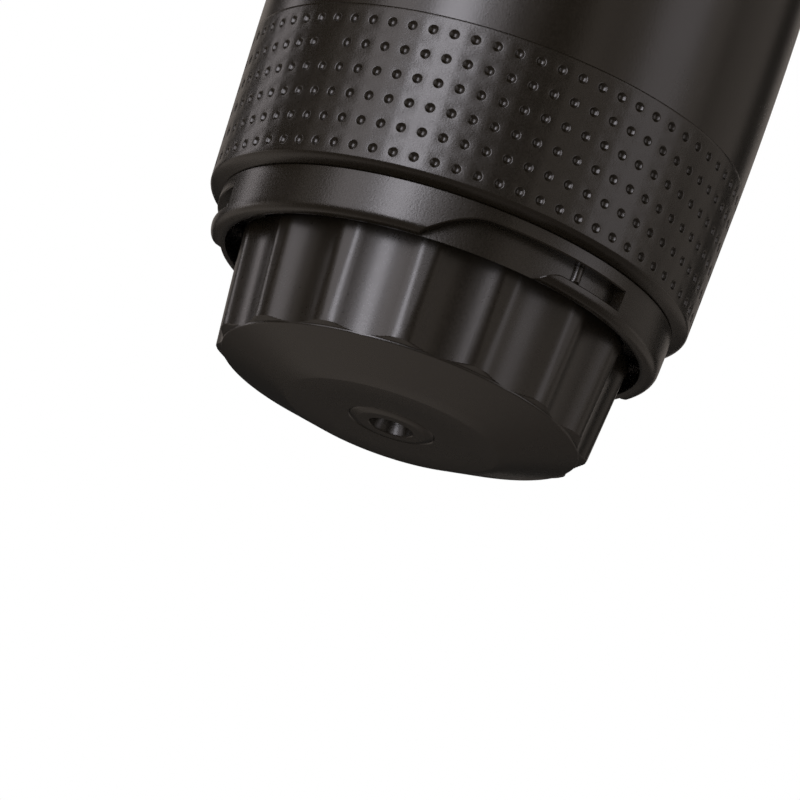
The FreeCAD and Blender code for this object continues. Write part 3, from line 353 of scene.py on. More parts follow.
def head_section(off_middle, turned):
    """The head's section at one place, outside going up and inside coming down."""
    section = [(radius, DISC_RISE) for radius in (RECESS_MOUTH + 0.12, 7.0, 9.0, DISC_RADIUS - 0.12)]
    section.append((DISC_RADIUS, DISC_RISE + 0.02))
    for share in (0.012, 0.2, 0.4, 0.6, 0.75, 0.85, 0.9, 0.94, 0.97, 0.99):
        section.append((between(DISC_RADIUS, CONE_RADIUS, share), between(DISC_RISE, CONE_RISE, share)))
    section += [(CONE_RADIUS - 0.03, CONE_RISE), (CONE_RADIUS, CONE_RISE + 0.04),
                (CONE_RADIUS + 0.01, LAND_RISE - 0.02)]
    for share in (0.02, 0.08, 0.2, 0.4, 0.6, 0.8, 0.92):
        section.append((between(CONE_RADIUS, RIM_RADIUS, share), between(LAND_RISE, RIM_RISE - 0.04, share)))
    for share in (0.015, 0.05, 0.12, 0.22, 0.36, 0.52, 0.68, 0.82, 0.93, 0.98, 1.0):
        height = between(RIM_RISE, SKIRT_TOP, share)
        section.append((skirt_radius(height), height))
    section += rounded(SKIRT_RADIUS, SHOULDER, SHOULDER_EDGE, 4)[1:]
    cut = [(min(radius, fluted(off_middle, max(height, 0))), height) for radius, height in section]
    cut += [(NECK_ROOT + 0.25, SHOULDER), (NECK_ROOT, SHOULDER + 0.25)]
    cut += threaded(turned, np.arange(SHOULDER + 0.4, HEAD_TOP - 0.2, 0.15), NECK_ROOT, NECK_CREST,
                    FIRST_CREST, low=23.6, run_in=1.6, high=HEAD_TOP - 0.4, run_out=1.2)
    cut += [(NECK_ROOT, HEAD_TOP - 0.2), (NECK_ROOT - 0.2, HEAD_TOP), (NECK_BORE + 0.2, HEAD_TOP),
            (NECK_BORE, HEAD_TOP - 0.2), (NECK_BORE, BASKET_SEAT), (FUNNEL_RADIUS, BASKET_SEAT),
            (WELL_RADIUS, WELL_TOP), (WELL_RADIUS, WELL_FLOOR), (OUTLET_RADIUS, WELL_FLOOR),
            (OUTLET_RADIUS, RECESS_FLOOR), (RECESS_RADIUS, RECESS_FLOOR), (RECESS_RADIUS, RECESS_STEP),
            (RECESS_MOUTH, RECESS_STEP), (RECESS_MOUTH, DISC_RISE + 0.12)]
    return cut


head_places = [(off_middle, FIRST_FLUTE + 360 / FLUTES * flute + off_middle)
               for flute in range(FLUTES // THREAD_STARTS)
               for off_middle in flute_offsets()[0 if flute == 0 else 1:]]
head_sector = wall("head_sector", [turned for off_middle, turned in head_places],
                   [head_section(*place) for place in head_places], whole_turn=False)
outlet_head = ring_of("outlet_head_fluted", head_sector, THREAD_STARTS, HEAD_PLASTIC, crease=33)
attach(outlet_head, "outlet")
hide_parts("outlet_head")


# ---------------- outlet nozzle
# The insert in the disc's middle: a low round boss with a sloping side, and a mouth that narrows inward.
# Moulded apart from the head, in the same plastic, and pressed in from below.

nozzle_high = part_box("outlet_nozzle")[1]
BOSS_FOOT = 5.25
BOSS_FACE = 4.35
MOUTH_RADIUS = 2.7
THROAT_RADIUS = 1.5
NOZZLE_TOP = nozzle_high.z / MM
NOZZLE_RADIUS = nozzle_high.x / MM


def carved(piece, steps):
    """The mesh of a solid after others are joined to it or cut from it."""
    solids = (piece, *(tool for operation, tool in steps))
    for each in solids:
        bpy.context.scene.collection.objects.link(each)
    for operation, tool in steps:
        change = piece.modifiers.new("work", "BOOLEAN")
        change.operation = operation
        change.solver = "MANIFOLD"
        change.object = tool
    mesh = bpy.data.meshes.new_from_object(piece.evaluated_get(bpy.context.evaluated_depsgraph_get()))
    for spare in solids:
        bpy.data.objects.remove(spare)
    return mesh


def worked(name, piece, finish, crease=35, steps=()):
    """A piece of the scene from a closed wall, welded, and carved where it has steps."""
    welded = bmesh.new()
    welded.from_mesh(piece.data)
    bmesh.ops.remove_doubles(welded, verts=welded.verts, dist=5e-6)
    bmesh.ops.recalc_face_normals(welded, faces=welded.faces)
    welded.to_mesh(piece.data)
    welded.free()
    mesh = carved(piece, steps)
    mesh.name = name
    mesh.materials.clear()
    mesh.materials.append(finish)
    return shown(name, mesh, crease)


nozzle_section = [(MOUTH_RADIUS + 0.12, 0.0), (MOUTH_RADIUS + 0.7, 0.0), (BOSS_FACE - 0.4, 0.0),
                  (BOSS_FACE - 0.06, 0.0), (BOSS_FACE, 0.02), (BOSS_FACE + 0.3, 0.10),
                  (BOSS_FOOT - 0.1, DISC_RISE + 0.03), (BOSS_FOOT, DISC_RISE + 0.1), (BOSS_FOOT, 1.55),
                  (NOZZLE_RADIUS, 1.58), (NOZZLE_RADIUS, NOZZLE_TOP), (THROAT_RADIUS, NOZZLE_TOP),
                  (THROAT_RADIUS, 3.2), (MOUTH_RADIUS - 0.3, 1.2), (MOUTH_RADIUS, 0.3),
                  (MOUTH_RADIUS + 0.03, 0.09)]
outlet_nozzle = worked("outlet_nozzle_insert", spun("nozzle_wall", nozzle_section), HEAD_PLASTIC, crease=30)
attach(outlet_nozzle, "outlet")
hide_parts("outlet_nozzle")


# ---------------- bayonet collar
# The ring between band and head with three tracks for the cup's lugs: an open entry with a curved lead-in, a
# slot over a flange, a small rib that the lug snaps over, and a closed end.
# Moulded like the casing and held up into the brew chamber by three screws.

CASING_PLASTIC = moulded("etched_casing_plastic", CHARCOAL, 0.28, 0.26, 0.014)

collar_low, collar_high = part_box("bayonet_collar")
COLLAR_BOTTOM = collar_low.z / MM
COLLAR_SPIGOT = collar_high.z / MM
COLLAR_ROOF = 21.25
COLLAR_TOP = 21.15
COLLAR_RADIUS = 28.2
COLLAR_FOOT_RADIUS = 28.0
COLLAR_LAND = 19.5
COLLAR_LIP = 1.3
COLLAR_INNER = 25.8
COLLAR_EYE = 22.9
COLLAR_BORE = 27.5
TRACK_FLOOR = 26.5
TRACK_CEILING = 19.45
FLANGE_TOP = 17.0
ENTRY = -9.4
LEAD_IN = 17.1
FLANGE_START = 22.3
FLANGE_LEAD = 6.1
TRACK_END = 47.8
RIB_PLACE = 33.9
RIB_HALF_WIDTH = 0.62
RIB_HEIGHT = 0.62
RIB_FOOT = 17.1
EDGE = 0.14
TRACKS = 3


def quarter_wave(turned, start, length):
    """Rises smoothly from 0 at start to 1 a length further on."""
    return sin(pi / 2 * held((turned - start) / length))


def collar_outside(height):
    """The collar's outer radius at a height, with its rounded lower lip."""
    draft = held((COLLAR_LAND - height) / (COLLAR_LAND - COLLAR_BOTTOM))
    radius = between(COLLAR_RADIUS, COLLAR_FOOT_RADIUS, draft)
    into_lip = held(COLLAR_BOTTOM + COLLAR_LIP - height, COLLAR_LIP)
    return radius - COLLAR_LIP + sqrt(COLLAR_LIP ** 2 - into_lip ** 2)


def rib(turned, height):
    """How far the snap rib stands off the track's floor."""
    across = radians(turned - RIB_PLACE) * TRACK_FLOOR / RIB_HALF_WIDTH
    return RIB_HEIGHT * sqrt(max(1 - across ** 2, 0)) * held((height - RIB_FOOT) / 0.3)


def collar_section(turned, cut):
    """The collar's section at one place; cut is true where the track is open."""
    ceiling = flange = COLLAR_BOTTOM
    floor = None
    reach = inf
    if cut:
        ceiling = between(COLLAR_BOTTOM, TRACK_CEILING, quarter_wave(turned, ENTRY, LEAD_IN))
        flange = between(COLLAR_BOTTOM, FLANGE_TOP, quarter_wave(turned, FLANGE_START, FLANGE_LEAD))
        floor = TRACK_FLOOR
        reach = TRACK_FLOOR + 3 * quarter_wave(turned, FLANGE_START - 0.6, 1.6)
    section = [(COLLAR_INNER, COLLAR_BOTTOM + 0.6), (COLLAR_INNER + 0.18, COLLAR_BOTTOM + 0.18),
               (COLLAR_INNER + 0.6, COLLAR_BOTTOM)]
    bevel = min(EDGE, (flange - COLLAR_BOTTOM) / 3)
    for share in (0, 0.02, 0.06, 0.12, 0.2, 0.3, 0.42, 0.56, 0.72, 0.88, 1):
        height = between(COLLAR_BOTTOM, flange - bevel, share)
        section.append((min(collar_outside(height), reach), height))
    brim = min(collar_outside(flange), reach)
    low_floor = floor or brim
    section += [(max(brim - bevel, low_floor), flange), (low_floor, flange)]
    for share in (0.02, 0.12, 0.24, 0.36, 0.38, 0.4, 0.5, 0.7, 0.9, 0.98):
        height = between(flange, ceiling, share)
        section.append((low_floor + (rib(turned, height) if cut else 0), height))
    top = min(EDGE, (ceiling - COLLAR_BOTTOM) / 3)
    over = collar_outside(ceiling)
    high_floor = floor or over
    section += [(min(high_floor, over), ceiling), (max(over - top, min(high_floor, over)), ceiling)]
    for share in (0, 0.02, 0.05, 0.09, 0.14, 0.2, 0.28, 0.38, 0.5, 0.65, 0.8, 0.92, 1):
        height = between(ceiling + top, COLLAR_TOP - EDGE, share)
        section.append((collar_outside(height), height))
    section += [(COLLAR_RADIUS - EDGE, COLLAR_TOP), (COLLAR_BORE, COLLAR_TOP), (COLLAR_BORE, COLLAR_SPIGOT),
                (COLLAR_EYE, COLLAR_SPIGOT), (COLLAR_EYE, COLLAR_ROOF), (COLLAR_INNER, COLLAR_ROOF)]
    return section


plain_end = ENTRY + 360 / TRACKS
over_rib = np.sin(np.linspace(-pi / 2, pi / 2, 15))
by_rib = RIB_PLACE + np.degrees(RIB_HALF_WIDTH / TRACK_FLOOR) * over_rib
along_track = sorted({*np.linspace(ENTRY, TRACK_END, 94).round(3), *by_rib.round(3)})
along_plain = np.linspace(TRACK_END, plain_end, 33)[:-1]
collar_sections = [collar_section(turned, True) for turned in along_track]
collar_sections += [collar_section(turned, False) for turned in along_plain]
collar_sections.append(collar_section(ENTRY, True))
collar_turns = [*along_track, *along_plain, plain_end]
collar_sector = wall("collar_sector", collar_turns, collar_sections, whole_turn=False)
bayonet_collar = ring_of("bayonet_collar_tracks", collar_sector, TRACKS, CASING_PLASTIC, crease=35)
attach(bayonet_collar, "maker")
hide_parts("bayonet_collar")


# ---------------- grip band
# The sleeve that the hand holds: six rows of small round dimples, seventy-two round the body, and an edge
# that turns in to the collar. One dimple of the second row from the top is left out.
# Moulded as a sleeve, in the same etched plastic as the casing.

BAND_SEAM = 0.02
BAND_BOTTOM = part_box("grip_band")[0].z / MM
BAND_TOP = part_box("main_body")[0].z / MM - BAND_SEAM
BAND_EDGE = 22.25
BAND_EDGE_RADIUS = 29.955
BAND_TOP_RADIUS = 30.68
BAND_TURN_IN = 1.7
BAND_TURN = radians(80)
BAND_INNER = 27.6
DIMPLE_COLUMNS = 72
DIMPLE_ROWS = 6
ROW_STEP = 3.130
FIRST_ROW = 23.46
FIRST_COLUMN = -74.88
BLANK_COLUMN = 6
BLANK_ROW = 4
DIMPLE_RADIUS = 0.60
DIMPLE_DEPTH = 0.42
DIMPLE_SIDES = 16               # four to each side of the square patch that a dimple sits in
FIELD_GAP = 0.02                # from the band's edge up to the lowest patches


def band_radius(height):
    """The band's outer radius at a height, turning in below its edge."""
    if height < BAND_EDGE:
        turn = BAND_TURN * (BAND_EDGE - height) / (BAND_EDGE - BAND_BOTTOM)
        return BAND_EDGE_RADIUS - BAND_TURN_IN * (1 - cos(turn)) / (1 - cos(BAND_TURN))
    return between(BAND_EDGE_RADIUS, BAND_TOP_RADIUS, (height - BAND_EDGE) / (BAND_TOP - BAND_EDGE))


def band_point(turned, height, depth=0.0, radius=None):
    """A point of the band, given in degrees and millimetres."""
    out = ((radius or band_radius(height)) - depth) * MM
    turned = radians(turned)
    return (out * sin(turned), -out * cos(turned), height * MM)


def dimple_sector(name, blank_row=None):
    """One column of dimples, with the strip of inner wall behind it."""
    half_turn = 180 / DIMPLE_COLUMNS
    half_row = ROW_STEP / 2
    degrees_per_mm = degrees(1 / band_radius(FIRST_ROW + 2.5 * ROW_STEP))
    corners = [(1, 0), (1, .5), (1, 1), (.5, 1), (0, 1), (-.5, 1), (-1, 1), (-1, .5),
               (-1, 0), (-1, -.5), (-1, -1), (-.5, -1), (0, -1), (.5, -1), (1, -1), (1, -.5)]
    rings = ((1.12, 0.0), (1.0, 0.03), (0.90, 0.20), (0.66, 0.62), (0.36, 0.90))
    points, faces = [], []
    for row in range(DIMPLE_ROWS):
        middle = FIRST_ROW + ROW_STEP * row
        below = half_row if row else FIRST_ROW - BAND_EDGE - FIELD_GAP
        depth = 0 if row == blank_row else DIMPLE_DEPTH
        start = len(points)
        points += [band_point(across * half_turn, middle + up * (half_row if up > 0 else below))
                   for across, up in corners]
        for share, sunk in rings:
            for side in range(DIMPLE_SIDES):
                angle = tau * side / DIMPLE_SIDES
                reach = DIMPLE_RADIUS * share
                across, up = reach * cos(angle) * degrees_per_mm, reach * sin(angle)
                points.append(band_point(across, middle + up, depth * sunk))
        points.append(band_point(0, middle, depth))
        for ring in range(len(rings)):
            for side in range(DIMPLE_SIDES):
                outer = start + ring * DIMPLE_SIDES
                beside = (side + 1) % DIMPLE_SIDES
                faces.append((outer + side, outer + beside,
                              outer + DIMPLE_SIDES + beside, outer + DIMPLE_SIDES + side))
        last = start + len(rings) * DIMPLE_SIDES
        faces += [(last + side, last + (side + 1) % DIMPLE_SIDES, len(points) - 1)
                  for side in range(DIMPLE_SIDES)]
    field_low = BAND_EDGE + FIELD_GAP
    field_high = FIRST_ROW + ROW_STEP * (DIMPLE_ROWS - 0.5)
    section = [(None, field_high), (None, BAND_TOP - BAND_SEAM),
               (BAND_TOP_RADIUS - BAND_SEAM, BAND_TOP), (BAND_INNER, BAND_TOP), (BAND_INNER, BAND_BOTTOM),
               (band_radius(BAND_BOTTOM), BAND_BOTTOM)]
    section += [(None, between(BAND_BOTTOM, field_low, share))
                for share in (0.04, 0.12, 0.22, 0.34, 0.46, 0.58, 0.7, 0.82, 0.92, 1)]
    start = len(points)
    for radius, height in section:
        points += [band_point(across * half_turn, height, radius=radius) for across in (-1, -.5, 0, .5, 1)]
    for row in range(len(section) - 1):
        for column in range(4):
            here = start + row * 5 + column
            faces.append((here, here + 1, here + 6, here + 5))
    sector = solid(name, points, faces)
    sector.data.transform(Matrix.Rotation(radians(FIRST_COLUMN), 4, "Z"))
    return sector


GRIP_PLASTIC = moulded("etched_grip_plastic", CHARCOAL, 0.28, 0.26, 0.014)
grip_band = ring_of("grip_band_dimpled", dimple_sector("dimple_sector"), DIMPLE_COLUMNS, GRIP_PLASTIC,
                    crease=50, odd=dimple_sector("blank_sector", BLANK_ROW), odd_place=BLANK_COLUMN)
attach(grip_band, "maker")
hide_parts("grip_band")


# ---------------- main body
# The shell above the band: it swells a little, carries the pump's side port and the screw pillars, and ends
# in the spigot with the three-start thread that takes the tank.
# Moulded in one piece, with a finer and smoother skin than the band, which meets it without a step.

body_low, body_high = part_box("main_body")
BODY_BOTTOM = body_low.z / MM
BODY_TOP = body_high.z / MM
BELLY_RADIUS = 31.0
BELLY_HEIGHT = 59.8
BODY_SHOULDER = 88.0
BODY_SHOULDER_RADIUS = 30.3
BODY_LINING = 27.6
SPIGOT_ROOT = 26.2
SPIGOT_CREST = 26.9
SPIGOT_BORE = 24.4
SPIGOT_FIRST_CREST = 90.1
DECK_BOTTOM = 86.0
DECK_TOP = 89.0
PUMP_HEIGHT = 67.0
PORT_BOSS = 16.6
PORT_FACE = 28.5
PORT_SEAT = 16.75               # a round seat in the shell, level with the boss's face
PORT_HOLE = 15.2
PORT_ROOT = 22                  # the boss starts inside the shell, and the hole ends further in
PORT_HOLE_END = 15
PAST_SHELL = 40
PILLARS = [(side * 12.01, end * 21.0) for side in (1, -1) for end in (1, -1)]
PILLAR_RADIUS = 3.5
PILLAR_FOOT = 50.05
PILOT_RADIUS = 1.3
PILOT_TOP = 62.05
INTAKE_HOLE = 2.45
INTAKE_PLACE = 17               # the intake tube and the pump's valves stand this far right of the axis
VENT_HOLE = 1.3
VENT_PLACE = -14


def bow_radius(height, low, middle, high):
    """The radius at a height on the smooth bow through three (radius, height) places of a wall."""
    (r0, h0), (r1, h1), (r2, h2) = low, middle, high
    return (r0 * (height - h1) * (height - h2) / ((h0 - h1) * (h0 - h2))
            + r1 * (height - h0) * (height - h2) / ((h1 - h0) * (h1 - h2))
            + r2 * (height - h0) * (height - h1) / ((h2 - h0) * (h2 - h1)))


def body_section(turned):
    """The shell's section at one place, outside going up and inside coming down."""
    bow = ((BAND_TOP_RADIUS, BODY_BOTTOM), (BELLY_RADIUS, BELLY_HEIGHT),
           (BODY_SHOULDER_RADIUS, BODY_SHOULDER))
    section = [(BODY_LINING, BODY_BOTTOM), (BAND_TOP_RADIUS - BAND_SEAM, BODY_BOTTOM)]
    for height in (BODY_BOTTOM + BAND_SEAM, *np.linspace(BODY_BOTTOM + 0.5, BODY_SHOULDER - EDGE, 40)):
        section.append((bow_radius(height, *bow), height))
    section += [(BODY_SHOULDER_RADIUS - EDGE, BODY_SHOULDER), (SPIGOT_ROOT, BODY_SHOULDER)]
    section += threaded(turned, np.arange(BODY_SHOULDER + 0.2, BODY_TOP - 0.2, 0.16), SPIGOT_ROOT,
                        SPIGOT_CREST, SPIGOT_FIRST_CREST, low=88.5, run_in=1.2,
                        high=BODY_TOP - 0.3, run_out=1.0)
    section += [(SPIGOT_ROOT, BODY_TOP - 0.2), (SPIGOT_ROOT - 0.2, BODY_TOP), (SPIGOT_BORE, BODY_TOP),
                (SPIGOT_BORE, DECK_TOP), (0.001, DECK_TOP), (0.001, DECK_BOTTOM),
                (BODY_LINING - 1.8, DECK_BOTTOM), (BODY_LINING, DECK_BOTTOM - 8)]
    return section


def rod(radius, start, end, sides=96):
    """A plain closed cylinder between two points, to join to or cut from a moulding."""
    start, end = (np.array(point, float) * MM for point in (start, end))
    along = (end - start) / np.linalg.norm(end - start)
    aside = np.cross(along, (0, 0, 1) if abs(along[2]) < 0.9 else (1, 0, 0))
    aside /= np.linalg.norm(aside)
    upward = np.cross(along, aside)
    turns = [tau * side / sides for side in range(sides)]
    ring = [(cos(turn) * aside + sin(turn) * upward) * radius * MM for turn in turns]
    points = [tuple(start + spoke) for spoke in ring] + [tuple(end + spoke) for spoke in ring]
    faces = [(side, (side + 1) % sides, sides + (side + 1) % sides, sides + side) for side in range(sides)]
    faces += [tuple(reversed(range(sides))), tuple(range(sides, 2 * sides))]
    return solid("rod", points, faces)


def port_rod(radius, outer, inner):
    """A rod along the pump's axis, between two distances left of the maker's axis."""
    return rod(radius, (-outer, 0, PUMP_HEIGHT), (-inner, 0, PUMP_HEIGHT), 192)


BODY_PLASTIC = moulded("satin_body_plastic", CHARCOAL, 0.245, 0.26, 0.010)
steps = [("UNION", port_rod(PORT_BOSS, PORT_FACE + 0.4, PORT_ROOT)),
         ("DIFFERENCE", port_rod(PORT_SEAT, PAST_SHELL, PORT_FACE))]
for spot in PILLARS:
    steps.append(("UNION", rod(PILLAR_RADIUS, (*spot, PILLAR_FOOT), (*spot, DECK_BOTTOM + 1.5), 48)))
steps.append(("DIFFERENCE", port_rod(PORT_HOLE, PAST_SHELL, PORT_HOLE_END)))
for spot in PILLARS:
    steps.append(("DIFFERENCE", rod(PILOT_RADIUS, (*spot, 49.0), (*spot, PILOT_TOP), 32)))
for radius, along, sides in ((INTAKE_HOLE, INTAKE_PLACE, 48), (VENT_HOLE, VENT_PLACE, 32)):
    steps.append(("DIFFERENCE", rod(radius, (along, 0, DECK_BOTTOM - 6), (along, 0, DECK_TOP + 3), sides)))
fine_turns = np.arange(0, 360, 1.5)
shell = wall("shell", fine_turns, [body_section(turned) for turned in fine_turns])
main_body = worked("main_body_shell", shell, BODY_PLASTIC, steps=steps)
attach(main_body, "maker")
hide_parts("main_body")


# ---------------- water tank
# The screw-on tank: a tapered cup turned upside down, with a softly rounded crown and a three-start thread
# inside its mouth. Moulded in one piece, with the same skin as the shell.

tank_low, tank_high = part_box("water_tank")
TANK_BOTTOM = tank_low.z / MM
TANK_TOP = tank_high.z / MM
TANK_SHOULDER = TANK_TOP - 9.0
TANK_WAIST = between(TANK_BOTTOM, TANK_TOP, 0.42)
TANK_MOUTH_RADIUS = 30.2
TANK_SHOULDER_RADIUS = 27.3
TANK_WALL = ((TANK_MOUTH_RADIUS, TANK_BOTTOM), (28.94, TANK_WAIST), (TANK_SHOULDER_RADIUS, TANK_SHOULDER))
TANK_CROWN = ((TANK_SHOULDER_RADIUS, TANK_SHOULDER), (24.04, TANK_TOP - 2.57), (17.35, TANK_TOP))
TANK_ROOF = 132.0
TANK_ROOF_RADIUS = 15.85
TANK_STEP = 99.4
TANK_BORE = 25.6
TANK_THREAD_BORE = 27.0
TANK_THREAD_CREST = 26.4
TANK_FIRST_CREST = 91.6


def circle_through(first, middle, last, count):
    """Points along the round arc from the first place through the middle one to the last."""
    (x0, y0), (x1, y1), (x2, y2) = first, middle, last
    half = 2 * ((x1 - x0) * (y2 - y0) - (x2 - x0) * (y1 - y0))
    one, two = (x1 - x0) ** 2 + (y1 - y0) ** 2, (x2 - x0) ** 2 + (y2 - y0) ** 2
    across = ((y2 - y0) * one - (y1 - y0) * two) / half
    up = ((x1 - x0) * two - (x2 - x0) * one) / half
    radius = hypot(across, up)
    start = atan2(-up, -across)
    end = atan2(y2 - y0 - up, x2 - x0 - across)
    sweep = (end - start + pi) % tau - pi
    return [(x0 + across + radius * cos(start + sweep * step / count),
             y0 + up + radius * sin(start + sweep * step / count)) for step in range(count + 1)]


def tank_section(turned):
    """The tank's section at one place, outside going up and inside coming down."""
    section = [(TANK_THREAD_BORE + 0.25, TANK_BOTTOM), (TANK_MOUTH_RADIUS - EDGE, TANK_BOTTOM)]
    section += [(radius, height + EDGE * (height < TANK_BOTTOM + 0.01))
                for radius, height in circle_through(*TANK_WALL, 30)]
    section += circle_through(*TANK_CROWN, 26)[1:]
    section += [(radius, TANK_TOP) for radius in (12.0, 6.0, 0.001)]
    section += [(radius, TANK_ROOF) for radius in (0.001, 8.0, TANK_ROOF_RADIUS)]
    section += circle_through((TANK_ROOF_RADIUS, TANK_ROOF), (21.7, TANK_TOP - 4.91),
                              (24.7, TANK_SHOULDER - 1), 12)[1:]
    section += [(TANK_BORE, TANK_SHOULDER - 8), (TANK_BORE, TANK_STEP), (TANK_THREAD_BORE, TANK_STEP)]
    section += threaded(turned, np.arange(TANK_STEP - 0.4, TANK_BOTTOM + 0.4, -0.16), TANK_THREAD_BORE,
                        TANK_THREAD_CREST, TANK_FIRST_CREST, low=89.6, run_in=1.2, high=98.2, run_out=1.0)
    section.append((TANK_THREAD_BORE, TANK_BOTTOM + 0.25))
    return section


tank_wall = wall("tank_wall", fine_turns, [tank_section(turned) for turned in fine_turns])
water_tank = worked("water_tank_cup", tank_wall, BODY_PLASTIC, crease=40)
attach(water_tank, "tank")
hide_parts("water_tank")


# ---------------- pump knob
# The knob that the thumb pushes: a smooth cup over the return spring, with two lugs at its mouth for the lock
# and a shallow seat in its end for the cap. Moulded in the head's satin plastic.

def on_pump_axis(piece):
    """Lays a wall that was built upright along the pump's axis, its height going out to the left."""
    lying = Matrix.Rotation(-pi / 2, 4, "Y")
    piece.data.transform(Matrix.Translation((0, 0, PUMP_HEIGHT * MM)) @ lying)
    return piece


KNOB_FACE = 54.0
KNOB_RADIUS = 13.0
KNOB_EDGE = 1.5
KNOB_MOUTH = 24.0
KNOB_BORE = 11.0
KNOB_CEILING = 50.8
SOCKET_MOUTH = 44.8
SOCKET_RADIUS = 4.6
ROD_RADIUS = 3.5
ROD_END = 51.35
CAP_SEAT = 53.4
CAP_RADIUS = 9.0
LUG_HALF_TURN = 10.0
LUG_OUT = 1.0
LUG_END = 26.5


def knob_section(turned):
    """The knob's section at one place round the pump's axis, from the cap's seat back inside, then out."""
    off_lug = abs((turned + 90) % 180 - 90)
    on_lug = held((LUG_HALF_TURN + 0.4 - off_lug) / 0.8)
    section = [(0.001, CAP_SEAT), (0.001, ROD_END), (ROD_RADIUS, ROD_END), (ROD_RADIUS, SOCKET_MOUTH + 0.2),
               (SOCKET_RADIUS - 0.2, SOCKET_MOUTH), (SOCKET_RADIUS, SOCKET_MOUTH + 0.2),
               (SOCKET_RADIUS, KNOB_CEILING - 0.8), (SOCKET_RADIUS + 0.8, KNOB_CEILING),
               (KNOB_BORE - 0.8, KNOB_CEILING), (KNOB_BORE, KNOB_CEILING - 0.8),
               (KNOB_BORE, KNOB_MOUTH + 0.3), (KNOB_BORE + 0.3, KNOB_MOUTH),
               (KNOB_RADIUS - 0.2 + LUG_OUT * on_lug, KNOB_MOUTH)]
    for height in (KNOB_MOUTH + 0.2, KNOB_MOUTH + 0.8, LUG_END - 0.6, LUG_END - 0.15):
        section.append((KNOB_RADIUS + LUG_OUT * on_lug, height))
    section += [(KNOB_RADIUS + 0.7 * LUG_OUT * on_lug, LUG_END), (KNOB_RADIUS, LUG_END + 0.15)]
    for height in (LUG_END + 0.6, 30.0, 36.0, 42.0, 48.0, KNOB_FACE - KNOB_EDGE - 0.6):
        section.append((KNOB_RADIUS, height))
    section += rounded(KNOB_RADIUS, KNOB_FACE, KNOB_EDGE, 8)
    section += [(KNOB_RADIUS - KNOB_EDGE - 0.8, KNOB_FACE), (CAP_RADIUS + 0.25, KNOB_FACE),
                (CAP_RADIUS + 0.08, KNOB_FACE - 0.15), (CAP_RADIUS + 0.06, CAP_SEAT)]
    return section


knob_turns = sorted({*np.arange(0, 360, 3.0).tolist(),
                     *[(middle + side * (LUG_HALF_TURN + off)) % 360
                       for middle in (0, 180) for side in (-1, 1) for off in (-0.5, -0.2, 0.2, 0.5)]})
knob_wall = on_pump_axis(wall("knob_wall", knob_turns, [knob_section(turned) for turned in knob_turns]))
piston_knob = worked("piston_knob_cup", knob_wall, HEAD_PLASTIC, crease=40)
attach(piston_knob, "knob")
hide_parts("piston_knob")


# ---------------- knob cap
# The disc in the knob's end: stainless sheet, spun with fine rings round its middle and a bevelled edge.
# Pressed into its seat.

def spun_steel(name, colour, roughness):
    """Steel with fine rings round the pump's axis, from turning, that stretch its highlights."""
    finish = Finish(name, colour, Metallic=1.0)
    place = finish.add("ShaderNodeMapping", inputs={
        "Vector": finish.place(), "Location": (0, 0, -PUMP_HEIGHT * MM), "Scale": (0, 1, 1)})
    out = finish.add("ShaderNodeVectorMath", {"operation": "LENGTH"}, {0: place}, "Value")
    ring_place = finish.add("ShaderNodeCombineXYZ", inputs={"X": out})
    rings = finish.noise(0.22, 3, ring_place)
    coarse = finish.noise(1.3, 2, ring_place)
    finish.vary("Roughness", roughness + (rings - 0.5) * 0.30 + (coarse - 0.5) * 0.14)
    finish.vary("Base Color", finish.blend(finish.clear(rings, 0.3, 0.7), [c * 0.78 for c in colour], colour))
    finish.raise_by(rings, 0.0060)
    return finish.material


SPUN_STEEL = spun_steel("spun_steel", (0.30, 0.29, 0.28), 0.42)
CAP_FACE = KNOB_FACE + 0.2
CAP_DISH = 0.4                  # how far the dished middle lies below the rim
cap_section = [(0.001, CAP_SEAT), (8.6, CAP_SEAT), (8.95, CAP_SEAT + 0.1), (CAP_RADIUS, CAP_SEAT + 0.25),
               (CAP_RADIUS, CAP_FACE - 0.18), (8.97, CAP_FACE - 0.12), (8.72, CAP_FACE - 0.01),
               (8.62, CAP_FACE), (8.1, CAP_FACE), (8.02, CAP_FACE - 0.03)]
for radius in (7.98, 7.2, 6.0, 4.5, 3.0, 1.5, 0.001):
    cap_section.append((radius, CAP_FACE - CAP_DISH + 0.35 * (radius / 8) ** 2))
knob_cap = worked("knob_cap_disc", on_pump_axis(spun("cap_wall", cap_section)), SPUN_STEEL, crease=12)
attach(knob_cap, "knob")
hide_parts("knob_cap")


# ---------------- springs
# The pump's return spring and the light springs of the two check valves and the outlet valve.
# Wound from round stainless wire, with closed ends.

def turned_steel(name, colour, roughness):
    """Machined stainless steel with faint tool marks."""
    finish = Finish(name, colour, Metallic=1.0)
    marks = finish.noise(0.25, 3)
    finish.vary("Roughness", roughness + (marks - 0.5) * 0.16)
    finish.raise_by(marks, 0.0015)
    return finish.material


SPRING_STEEL = turned_steel("spring_wire", (0.55, 0.54, 0.53), 0.22)
WIRE_SIDES = 12
STEPS_PER_TURN = 48


